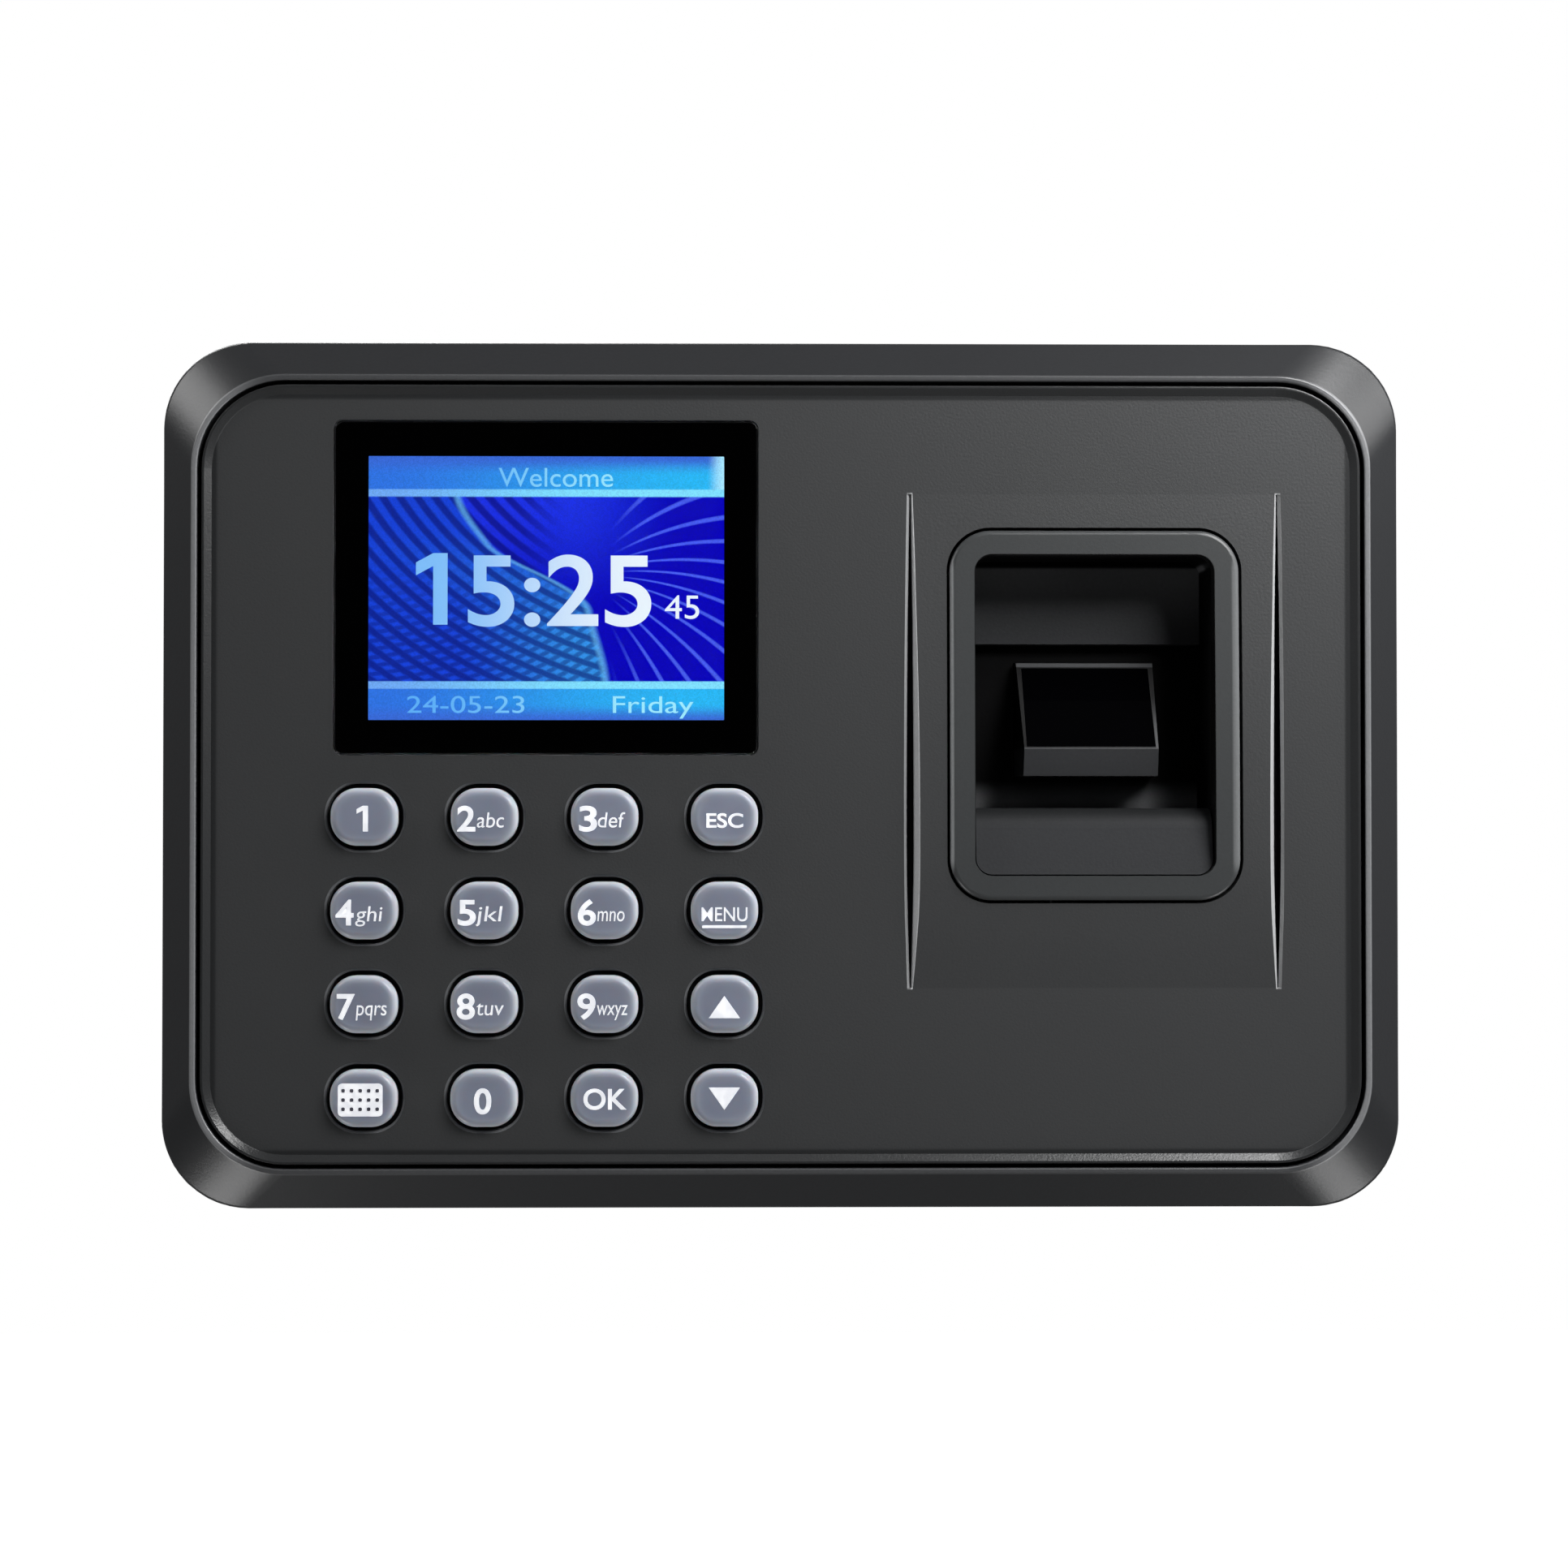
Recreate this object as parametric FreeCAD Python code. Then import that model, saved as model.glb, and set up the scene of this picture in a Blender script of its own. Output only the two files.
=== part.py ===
import FreeCAD, Part
import math
import os

# Wall-hung fingerprint time-clock terminal, modelled as it comes apart on a bench.
#
# Millimetres. X runs to the viewer's right, Z up, and the front faces -Y. The origin is the centre
# of the wall plate's back face, so Y = 0 is the wall. The case hangs on the steel wall plate by four
# hooks. Sixteen translucent keys, a colour display and a tilted optical finger prism are on the front.

Vector = FreeCAD.Vector

# ---- case ----
CASE_W, CASE_H = 180.0, 126.0
CASE_R = 12.6
WALL = 2.4
BACK_Y = -0.8            # back face of the rear cover, just clear of the wall
SEAM_Y = -14.0           # plane where the front frame meets the rear cover
SEAM_GAP = 0.5           # shadow line along that seam
RIM_Y = -27.6            # where the frame's side wall turns into the bevel
LIP_Y = -31.9            # front edge of the frame
BEVEL_SIDE, BEVEL_TOP = 5.1, 5.6
LIP_W = 0.7
LIP_R = 13.4
LEDGE_W, LEDGE_T = 3.2, 2.0
LEDGE_Y = -27.2          # front of the ledge that the face panel sits on
RIM_ROUND, LIP_ROUND = 0.9, 0.3

# ---- face panel ----
PANEL_Y = -31.0          # flat front of the face panel
PANEL_T = 2.2
PANEL_GAP = 0.55         # groove between the frame and the face panel
CREST_Y = -31.65         # raised edge of the dished face panel
DISH_W = 1.4             # width of the slope from that edge down to the flat
PANEL_BACK_Y = PANEL_Y + PANEL_T

# ---- display ----
SCREEN_X, SCREEN_Z = -34.1, 26.9
WINDOW_W, WINDOW_H, WINDOW_R = 61.1, 48.2, 1.2
ACTIVE_W, ACTIVE_H = 51.4, 38.2
LENS_FRONT_Y, LENS_SEAT_Y = -31.15, -29.6
MASK_T = 0.1
SEAT_HOLE_W, SEAT_HOLE_H = 54.0, 41.0
LCD_FRONT_Y, LCD_T = -28.2, 1.6
TRAY_W, TRAY_H, TRAY_BACK_Y = 60.4, 45.2, -24.8
TRAY_WALL = 0.8

# ---- keypad ----
KEY_X0, KEY_Z0 = -60.1, -6.2     # centre of the top left key
KEY_PITCH_X, KEY_PITCH_Z = 17.26, 13.46
KEY_W, KEY_H, KEY_R = 9.7, 8.3, 3.8
KEY_MOAT = 0.65                  # gap round each key in the face panel
KEY_FRONT_Y = -32.5
KEY_ROUND = 1.1
KEY_TRAVEL = 1.2
FLANGE_EXTRA = 1.3               # how far the key's hidden flange reaches past its cap
FLANGE_Y0, FLANGE_Y1 = -28.5, -27.5
STEM_R = 2.3
PILL_R, PILL_T = 2.0, 0.4
KEY_NAMES = [
    ["1", "2", "3", "esc"],
    ["4", "5", "6", "menu"],
    ["7", "8", "9", "up"],
    ["input", "0", "ok", "down"],
]

# ---- main board ----
BOARD_Y = -24.6                  # front of the main board, under the keys
BOARD_T = 1.6
BOARD_BACK_Y = BOARD_Y + BOARD_T
BOARD_X0, BOARD_X1 = -72.8, 3.8
BOARD_Z0, BOARD_Z1 = -58.4, 54.4
BOARD_POSTS = [(-69.8, -50.0), (0.8, -50.0), (-69.8, 51.0), (0.8, 51.0)]
PAD_T = 0.05
MAT_T = 0.9

# ---- finger scanner ----
SCAN_X, SCAN_Z = 45.1, 8.5       # centre of the bezel ring
RING_W, RING_H, RING_R = 41.8, 53.4, 5.9
WELL_W, WELL_H, WELL_R = 34.6, 46.4, 2.5
RING_GAP = 0.45
RING_PROUD = 0.55                # how far the ring stands out of the swelling round it
RING_SEAT_Y = -29.4
SWELL_W = 53.2                   # width of the swelling, between the two crescent grooves
SWELL_TOP, SWELL_BOTTOM, SWELL_PEAK_Z = 40.5, -30.9, -12.0
SWELL_H = 1.3
SWELL_DRAFT = 0.45               # how far the swelling's sides lean in per millimetre of height
GROOVE_HALF, GROOVE_DEPTH = 0.5, 1.6
GROOVE_LIP, GROOVE_LIP_DEPTH = 0.42, 0.4     # slope between each groove and the flat of the panel
GROOVE_SHAPE = [                 # share of the way down, and share of the greatest half width
    (0.0, 0.12), (0.22, 0.64), (0.57, 1.0), (0.78, 0.94), (0.91, 0.5), (1.0, 0.12),
]
HOOD_WALL = 1.6
APRON_Y, APRON_Z = -20.5, 19.5   # the upright plate above the prism, and its lower edge
FLOOR_Y = -18.5                  # deepest plane of the well
RAMP_FOOT_Y, RAMP_TOP_Y = -31.9, -30.4
RAMP_TOP_Z, RAMP_TURN = -4.9, 3.4    # the ramp's upper edge, rounded over
RAMP_GAP = 0.2                   # between the ramp and the ring
BLOCK_Z0, BLOCK_Z1 = -0.2, 16.7
BLOCK_HALF_FRONT, BLOCK_HALF_BACK = 9.75, 10.3
BLOCK_BACK_Y = -17.0
BLOCK_TOP_Y, BLOCK_FOOT_Y = -19.9, -27.3
BLOCK_NOSE = (-28.3, 3.7)        # depth and height of the edge that stands out furthest
GLASS_HALF, GLASS_Z0, GLASS_Z1 = 9.4, 4.05, 15.9
SENSOR_BOARD_Y, SENSOR_BOARD_T = -13.6, 1.4

# ---- rear cover and wall plate ----
COVER_INSET = 0.3
COVER_BACK_W, COVER_BACK_H, COVER_BACK_R = 171.0, 117.0, 10.0
COVER_WALL = 2.2
BACK_ROUND = 2.4
POST_X, POST_Z, POST_R = 77.5, 50.5, 4.2
POCKET_X, POCKET_Z0, POCKET_Z1 = 51.0, -44.0, 37.5
POCKET_Y = -7.0
POCKET_WALL = 2.0
PLATE_W, PLATE_H, PLATE_R, PLATE_T = 100.0, 72.0, 4.0, 1.5
BOLT_X, BOLT_Z, BOLT_HOLE_R = 22.0, 26.0, 2.25
HOOK_X, HOOK_TOPS = 36.0, (20.0, -18.0)
HOOK_W, HOOK_LIP = 10.0, 5.0
LOCK_Y = -3.9                    # axis of the locking screw, along Z
FLANGE_Z0 = -PLATE_H / 2
BOSS_Z0, BOSS_Z1 = FLANGE_Z0 + PLATE_T + 0.2, FLANGE_Z0 + PLATE_T + 7.2

# ---- sockets, speaker and small parts ----
USB_X, USB_W, USB_Y0, USB_Y1 = -35.0, 13.2, -22.8, -17.0
JACK_X, JACK_Y, JACK_NOZZLE_R, JACK_BORE_R = -54.0, -18.6, 3.4, 2.75
SPEAKER_X, SPEAKER_Z, SPEAKER_R = 65.5, -38.0, 10.0
RESET_X, RESET_Z = -62.0, 44.0
SCREW_R = 1.5
INSERT_R, INSERT_LENGTH = 2.3, 5.0
EAR_SPOTS = [(-77.0, 8.0), (77.0, 8.0), (14.0, 50.4), (14.0, -50.4), (62.0, 50.4), (62.0, -50.4)]
EAR_HALF = 4.0


# ---------------------------------------------------------------- shape helpers
def outline(width, height, radius, y, cx=0.0, cz=0.0):
    """A rounded rectangle facing the viewer, as a closed wire at depth y."""
    hw, hh = width / 2, height / 2
    short = radius * (1 - math.sqrt(0.5))
    starts, mids, ends = [], [], []
    for sx, sz in ((1, -1), (1, 1), (-1, 1), (-1, -1)):
        on_side = Vector(cx + sx * hw, y, cz + sz * (hh - radius))
        on_end = Vector(cx + sx * (hw - radius), y, cz + sz * hh)
        starts.append(on_side if sx * sz > 0 else on_end)
        ends.append(on_end if sx * sz > 0 else on_side)
        mids.append(Vector(cx + sx * (hw - short), y, cz + sz * (hh - short)))
    edges = []
    for i in range(4):
        edges.append(Part.Arc(starts[i], mids[i], ends[i]).toShape())
        edges.append(Part.LineSegment(ends[i], starts[(i + 1) % 4]).toShape())
    return Part.Wire(edges)


def slab(width, height, radius, y0, y1, cx=0.0, cz=0.0):
    """A plate with rounded corners, from depth y0 to depth y1."""
    return Part.Face(outline(width, height, radius, y0, cx, cz)).extrude(Vector(0, y1 - y0, 0))


def taper(first, last):
    """A solid between two closed wires."""
    return Part.makeLoft([first, last], True, True)


def block(x0, x1, y0, y1, z0, z1):
    return Part.makeBox(x1 - x0, y1 - y0, z1 - z0, Vector(x0, y0, z0))


def disc_y(radius, y0, y1, x, z):
    """A cylinder along Y."""
    return Part.makeCylinder(radius, y1 - y0, Vector(x, y0, z), Vector(0, 1, 0))


def disc_z(radius, z0, z1, x, y):
    """A cylinder along Z."""
    return Part.makeCylinder(radius, z1 - z0, Vector(x, y, z0), Vector(0, 0, 1))


def side_profile(points, x0, x1):
    """Extrudes a polygon of (y, z) points along X."""
    corners = [Vector(x0, y, z) for y, z in points]
    face = Part.Face(Part.makePolygon(corners + corners[:1]))
    return face.extrude(Vector(x1 - x0, 0, 0))


def fuse(shapes):
    return shapes[0].multiFuse(shapes[1:]).removeSplitter() if len(shapes) > 1 else shapes[0]


def cut(shape, tools):
    return shape.cut(tools)


def edges_at_depth(shape, y, tolerance=0.02):
    """The edges that lie wholly at depth y."""
    return [
        edge for edge in shape.Edges
        if abs(edge.BoundBox.YMin - y) < tolerance and abs(edge.BoundBox.YMax - y) < tolerance
    ]


def round_edges(shape, radius, edges):
    return shape.makeFillet(radius, edges)


def ribbon(points, width, thickness, bend):
    """A flat cable, as wide as given along X, that follows (x, y, z) points with arcs of radius bend."""
    x = points[0][0]
    path = [Vector(x, y, z) for _, y, z in points]
    edges, last = [], path[0]
    for before, corner, after in zip(path, path[1:], path[2:]):
        back = (before - corner).normalize()
        ahead = (after - corner).normalize()
        half = back.getAngle(ahead) / 2
        reach = bend / math.tan(half)
        start, end = corner + back * reach, corner + ahead * reach
        centre = corner + (back + ahead).normalize() * (bend / math.sin(half))
        middle = centre + (corner - centre).normalize() * bend
        edges.append(Part.LineSegment(last, start).toShape())
        edges.append(Part.Arc(start, middle, end).toShape())
        last = end
    edges.append(Part.LineSegment(last, path[-1]).toShape())
    along = (path[1] - path[0]).normalize()
    across = Vector(1, 0, 0)
    up = along.cross(across).normalize() * (thickness / 2)
    side = across * (width / 2)
    ring = [path[0] + side + up, path[0] - side + up, path[0] - side - up, path[0] + side - up]
    profile = Part.makePolygon(ring + ring[:1])
    return Part.Wire(edges).makePipeShell([profile], True, False)


def screw(radius, head_radius, head_height, length, spot, direction):
    """A cross-head screw whose head stands on spot; the shank runs along direction."""
    shank = Part.makeCylinder(radius, length, spot, direction)
    head = Part.makeCylinder(head_radius, head_height, spot - direction * head_height, direction)
    head = round_edges(head, head_height * 0.35, top_ring(head, spot, direction))
    recess = []
    for turn in (0, 90):
        bar = Part.makeBox(head_radius * 1.1, head_radius * 0.28, head_height * 0.55)
        bar.translate(Vector(-head_radius * 0.55, -head_radius * 0.14, 0))
        bar.rotate(Vector(0, 0, 0), Vector(0, 0, 1), turn)
        recess.append(bar)
    cross = recess[0].fuse(recess[1])
    cross.Placement = FreeCAD.Placement(
        spot - direction * head_height, FreeCAD.Rotation(Vector(0, 0, 1), direction)
    ).multiply(cross.Placement)
    return head.fuse(shank).cut(cross)


def top_ring(head, spot, direction):
    """The circular edge of a screw head that is furthest from the part it clamps."""
    rings = [edge for edge in head.Edges if edge.Curve.TypeId == "Part::GeomCircle"]
    return [min(rings, key=lambda edge: (edge.Curve.Center - spot).dot(direction))]


def group(solids):
    """Separate solids that share one node."""
    return Part.makeCompound(solids)


# ---------------------------------------------------------------- swelling round the scanner
def swell_curve(rise):
    """The swelling's outline in the YZ plane: a long gentle rise from the top, then a short fall."""
    top = Vector(0, PANEL_Y - rise, SWELL_TOP)
    peak = Vector(0, PANEL_Y - SWELL_H - rise, SWELL_PEAK_Z)
    bottom = Vector(0, PANEL_Y - rise, SWELL_BOTTOM)
    curve = Part.BSplineCurve()
    curve.interpolate(
        Points=[top, peak, bottom],
        Tangents=[Vector(0, -0.03, -1), Vector(0, 0, -1), Vector(0, 0.14, -1)],
        TangentFlags=[True, True, True],
    )
    return curve.toShape(), top, bottom


def swell_body(rise, base_y, half_width):
    """The solid under the swelling, raised by rise and reaching back to depth base_y."""
    curve, top, bottom = swell_curve(rise)
    low, high = Vector(0, base_y, SWELL_BOTTOM), Vector(0, base_y, SWELL_TOP)
    wire = Part.Wire([
        curve,
        Part.LineSegment(bottom, low).toShape(),
        Part.LineSegment(low, high).toShape(),
        Part.LineSegment(high, top).toShape(),
    ])
    face = Part.Face(wire)
    face.translate(Vector(SCAN_X - half_width, 0, 0))
    return face.extrude(Vector(2 * half_width, 0, 0))


def groove_edge(side, direction, extra, y):
    """One long edge of a crescent groove at depth y, moved out by extra, with its top and bottom ends."""
    points = []
    for share, width in GROOVE_SHAPE:
        x = SCAN_X + side * SWELL_W / 2 + direction * (width * GROOVE_HALF + extra)
        points.append(Vector(x, y, SWELL_TOP + share * (SWELL_BOTTOM - SWELL_TOP)))
    curve = Part.BSplineCurve()
    curve.interpolate(Points=points)
    return curve.toShape(), points[0], points[-1]


def strip(first, second):
    """A closed wire of two long edges joined by short straight ends."""
    edge_a, top_a, bottom_a = first
    edge_b, top_b, bottom_b = second
    return Part.Wire([
        edge_a,
        Part.LineSegment(bottom_a, bottom_b).toShape(),
        edge_b,
        Part.LineSegment(top_b, top_a).toShape(),
    ])


def crescent(side, extra, y):
    """The outline of one crescent groove: slender at the top, blunter at the bottom."""
    return strip(groove_edge(side, -1, extra, y), groove_edge(side, 1, extra, y))


def groove_tools(side):
    """Cutters for one groove: its narrow slot, and the slope that leads into it."""
    slot = Part.Face(crescent(side, 0.0, PANEL_Y + GROOVE_DEPTH)).extrude(Vector(0, -GROOVE_DEPTH - 1, 0))
    slope = taper(
        crescent(side, -0.03, PANEL_Y + GROOVE_LIP_DEPTH + 0.03),
        crescent(side, GROOVE_LIP, PANEL_Y - 0.02),
    )
    return [slot, slope]


def swell_pad():
    """The swelling between the grooves. Its long sides follow them and lean inwards."""
    foot_y, head_y = PANEL_Y + 0.5, PANEL_Y - 2.0
    lean = SWELL_DRAFT * (foot_y - head_y)
    foot = strip(groove_edge(-1, 1, -0.03, foot_y), groove_edge(1, -1, -0.03, foot_y))
    head = strip(groove_edge(-1, 1, lean, head_y), groove_edge(1, -1, lean, head_y))
    return swell_body(0.0, foot_y + 0.1, SWELL_W / 2 + 1).common(taper(foot, head))


# ---------------------------------------------------------------- case
def lip_size(inset):
    """Width and height of the frame's front opening outline, inset from the bevel's top edge."""
    return CASE_W - 2 * (BEVEL_SIDE + inset), CASE_H - 2 * (BEVEL_TOP + inset)


def front_frame():
    lip_w, lip_h = lip_size(0)
    open_w, open_h = lip_size(LIP_W)
    body = fuse([
        slab(CASE_W, CASE_H, CASE_R, RIM_Y, SEAM_Y),
        taper(outline(CASE_W, CASE_H, CASE_R, RIM_Y), outline(lip_w, lip_h, LIP_R, LIP_Y)),
    ])
    body = round_edges(body, RIM_ROUND, edges_at_depth(body, RIM_Y))
    ledge_back = LEDGE_Y + LEDGE_T
    hollow = slab(CASE_W - 2 * WALL, CASE_H - 2 * WALL, CASE_R - WALL, ledge_back, SEAM_Y + 1)
    ledge_hole = slab(
        open_w - 2 * LEDGE_W, open_h - 2 * LEDGE_W, LIP_R - LIP_W - LEDGE_W, LEDGE_Y - 1, SEAM_Y)
    mouth = slab(open_w, open_h, LIP_R - LIP_W, LIP_Y - 2, LEDGE_Y)
    body = cut(body, [hollow, ledge_hole, mouth])
    body = round_edges(body, LIP_ROUND, edges_at_depth(body, LIP_Y))
    inner_x, inner_z = CASE_W / 2 - WALL + 0.2, CASE_H / 2 - WALL + 0.2
    added, holes = [], []
    for sx in (-1, 1):
        for sz in (-1, 1):
            x, z = sx * POST_X, sz * POST_Z
            side_x, side_z = sx * inner_x, sz * inner_z
            rib_front = ledge_back - 0.1
            added.append(disc_y(POST_R, LEDGE_Y + 0.5, SEAM_Y, x, z))
            added.append(block(min(x, side_x), max(x, side_x), rib_front, SEAM_Y, z - 1, z + 1))
            added.append(block(x - 1, x + 1, rib_front, SEAM_Y, min(z, side_z), max(z, side_z)))
            holes.append(disc_y(INSERT_R, SEAM_Y - INSERT_LENGTH, SEAM_Y + 1, x, z))
            holes.append(disc_y(SCREW_R + 0.1, SEAM_Y - INSERT_LENGTH - 2, SEAM_Y, x, z))
    for x, z in EAR_SPOTS:
        added.append(ear(x, z, open_w / 2, open_h / 2))
        holes.append(disc_y(1.3, LEDGE_Y - 1, ledge_back + 1, x, z))
    low = -CASE_H / 2
    usb_half = USB_W / 2 + 0.2
    holes.append(block(
        USB_X - usb_half, USB_X + usb_half, USB_Y0 - 0.2, USB_Y1 + 0.2, low - 1, low + WALL + 1))
    holes.append(disc_z(JACK_NOZZLE_R + 0.2, low - 1, low + WALL + 1, JACK_X, JACK_Y))
    return cut(fuse([body] + added), holes)


def ear(x, z, side_x, side_z):
    """A tab of the ledge round one panel screw, joined to the nearer wall of the frame."""
    x0, x1, z0, z1 = x - EAR_HALF, x + EAR_HALF, z - EAR_HALF, z + EAR_HALF
    if side_x - abs(x) < side_z - abs(z):
        x0, x1 = (x0, side_x) if x > 0 else (-side_x, x1)
    else:
        z0, z1 = (z0, side_z) if z > 0 else (-side_z, z1)
    return block(x0, x1, LEDGE_Y, LEDGE_Y + LEDGE_T, z0, z1)


def key_spots():
    """Yields each key's name and centre."""
    for row, names in enumerate(KEY_NAMES):
        for column, name in enumerate(names):
            yield name, KEY_X0 + column * KEY_PITCH_X, KEY_Z0 - row * KEY_PITCH_Z


def face_panel():
    panel_w, panel_h = lip_size(LIP_W + PANEL_GAP)
    radius = LIP_R - LIP_W - PANEL_GAP
    plate = slab(panel_w, panel_h, radius, CREST_Y, LEDGE_Y)
    plate = round_edges(plate, 0.25, edges_at_depth(plate, CREST_Y))
    dish = taper(
        outline(panel_w - 2 * DISH_W, panel_h - 2 * DISH_W, radius - DISH_W, PANEL_Y),
        outline(panel_w - 0.8, panel_h - 0.8, radius - 0.4, CREST_Y - 0.02),
    )
    dish = dish.fuse(slab(panel_w - 0.8, panel_h - 0.8, radius - 0.4, CREST_Y - 1, CREST_Y - 0.02))
    edge_w = 1.8
    hollow = slab(panel_w - 2 * edge_w, panel_h - 2 * edge_w, radius - edge_w, PANEL_BACK_Y, LEDGE_Y + 1)
    plate = cut(plate, [dish, hollow] + groove_tools(-1) + groove_tools(1))
    added = [swell_pad()]
    tools = []
    for x, z in BOARD_POSTS:
        added.append(disc_y(2.2, PANEL_BACK_Y - 0.1, BOARD_Y, x, z))
        tools.append(disc_y(1.15, PANEL_BACK_Y, BOARD_Y + 1, x, z))
    for x, z in EAR_SPOTS:
        added.append(disc_y(2.8, PANEL_BACK_Y - 0.1, LEDGE_Y, x, z))
        tools.append(disc_y(1.15, PANEL_Y + 1.1, LEDGE_Y + 1, x, z))
    tools.append(slab(
        WINDOW_W + 0.3, WINDOW_H + 0.3, WINDOW_R + 0.15, LENS_SEAT_Y, PANEL_Y - 1, SCREEN_X, SCREEN_Z))
    tools.append(slab(
        SEAT_HOLE_W, SEAT_HOLE_H, 1.0, PANEL_BACK_Y + 1, PANEL_Y - 1, SCREEN_X, SCREEN_Z))
    hole_w, hole_h, hole_r = KEY_W + 2 * KEY_MOAT, KEY_H + 2 * KEY_MOAT, KEY_R + KEY_MOAT
    ease = 0.35
    for _, x, z in key_spots():
        tools.append(slab(hole_w, hole_h, hole_r, PANEL_BACK_Y + 1, PANEL_Y - 1, x, z))
        wide_w, wide_h, wide_r = hole_w + 2.2 * ease, hole_h + 2.2 * ease, hole_r + 1.1 * ease
        tools.append(taper(
            outline(hole_w, hole_h, hole_r, PANEL_Y + ease, x, z),
            outline(wide_w, wide_h, wide_r, PANEL_Y - 0.1 * ease, x, z),
        ))
    tools.append(slab(
        RING_W + 2 * RING_GAP, RING_H + 2 * RING_GAP, RING_R + RING_GAP,
        PANEL_BACK_Y + 1, PANEL_Y - 5, SCAN_X, SCAN_Z))
    return cut(fuse([plate] + added), tools)


def rear_cover():
    seam = SEAM_Y + SEAM_GAP
    width, height, radius = CASE_W - 2 * COVER_INSET, CASE_H - 2 * COVER_INSET, CASE_R - COVER_INSET
    body = taper(
        outline(width, height, radius, seam),
        outline(COVER_BACK_W, COVER_BACK_H, COVER_BACK_R, BACK_Y),
    )
    outside = round_edges(body, BACK_ROUND, edges_at_depth(body, BACK_Y))
    thick = 2 * COVER_WALL
    inner_back = BACK_Y - COVER_WALL
    hollow = taper(
        outline(width - thick, height - thick, radius - COVER_WALL, seam - 0.01),
        outline(COVER_BACK_W - thick, COVER_BACK_H - thick, COVER_BACK_R - COVER_WALL, inner_back),
    )
    body = cut(outside, [hollow])
    tongue_w, tongue_h = CASE_W - 2 * WALL - 0.4, CASE_H - 2 * WALL - 0.4
    tongue_r = CASE_R - WALL - 0.2
    tongue = slab(tongue_w, tongue_h, tongue_r, SEAM_Y - 2, seam + 2.4).cut(
        slab(tongue_w - 2.6, tongue_h - 2.6, tongue_r - 1.3, SEAM_Y - 3, seam + 3))
    keep = fuse([
        block(-66, 66, SEAM_Y - 3, seam + 3, 40, 64),
        block(-14, 66, SEAM_Y - 3, seam + 3, -64, -40),
        block(-95, 95, SEAM_Y - 3, seam + 3, -40, 40),
    ])
    added = [tongue.common(keep)]
    post_front = SEAM_Y
    holes = []
    for sx in (-1, 1):
        for sz in (-1, 1):
            x, z = sx * POST_X, sz * POST_Z
            added.append(disc_y(POST_R, post_front, inner_back + 1, x, z))
            holes.append(disc_y(3.3, -5.6, 1, x, z))
            holes.append(disc_y(SCREW_R + 0.2, post_front - 1, 0, x, z))
    pocket_floor = POCKET_Y - POCKET_WALL
    added.append(block(
        -POCKET_X - POCKET_WALL, POCKET_X + POCKET_WALL, pocket_floor, inner_back + 1,
        POCKET_Z0 - POCKET_WALL, POCKET_Z1 + POCKET_WALL))
    channel_half, channel_y = 4.6, -7.4
    channel = block(-channel_half - 2, channel_half + 2, channel_y - 2, inner_back + 1, -60.0, POCKET_Z0)
    added.append(channel.common(outside))
    holes.append(slab(
        2 * POCKET_X, POCKET_Z1 - POCKET_Z0, 3.0, POCKET_Y, 1, 0, (POCKET_Z0 + POCKET_Z1) / 2))
    holes.append(block(-channel_half, channel_half, channel_y, 1, -66, POCKET_Z0 + 1))
    slot_half = HOOK_W / 2 + 0.6
    for top in HOOK_TOPS:
        for sx in (-1, 1):
            x0, x1 = sx * HOOK_X - slot_half, sx * HOOK_X + slot_half
            holes.append(block(x0, x1, pocket_floor - 1, POCKET_Y + 1, top - 8.2, top + 0.1))
    added.append(disc_y(SPEAKER_R + 1.6, -6.0, inner_back + 1, SPEAKER_X, SPEAKER_Z).cut(
        disc_y(SPEAKER_R + 0.3, -7.0, inner_back, SPEAKER_X, SPEAKER_Z)))
    for ring_radius, count in ((0.0, 1), (3.0, 6), (6.0, 12)):
        for i in range(count):
            angle = 2 * math.pi * i / count
            x = SPEAKER_X + ring_radius * math.cos(angle)
            z = SPEAKER_Z + ring_radius * math.sin(angle)
            holes.append(disc_y(0.8, inner_back - 1, 1, x, z))
    vent_pitch, vent_count = 4.2, 7
    for sx in (-1, 1):
        for i in range(vent_count):
            x = sx * (18.0 + i * vent_pitch)
            holes.append(slab(1.8, 8.0, 0.89, inner_back - 1, 1, x, 47.5))
    holes.append(disc_y(0.9, inner_back - 1, 1, RESET_X, RESET_Z))
    cover = cut(fuse([body] + added), holes)
    boss = block(-4.0, 4.0, POCKET_Y - 0.5, -PLATE_T - 0.2, BOSS_Z0, BOSS_Z1)
    return fuse([cover, boss]).cut(disc_z(SCREW_R + 0.05, BOSS_Z0 - 1, BOSS_Z1 - 1, 0, LOCK_Y))


def rear_label():
    return slab(44.0, 9.5, 0.8, BACK_Y, BACK_Y + 0.12, -42.0, -50.5)


# ---------------------------------------------------------------- display
def display_lens():
    lens = slab(WINDOW_W, WINDOW_H, WINDOW_R, LENS_FRONT_Y, LENS_SEAT_Y - MASK_T, SCREEN_X, SCREEN_Z)
    return lens.makeChamfer(0.2, edges_at_depth(lens, LENS_FRONT_Y))


def display_mask():
    sheet = slab(
        WINDOW_W - 0.2, WINDOW_H - 0.2, WINDOW_R, LENS_SEAT_Y - MASK_T, LENS_SEAT_Y, SCREEN_X, SCREEN_Z)
    return sheet.cut(slab(ACTIVE_W, ACTIVE_H, 0.1, LENS_SEAT_Y - 1, LENS_SEAT_Y + 1, SCREEN_X, SCREEN_Z))


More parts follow.
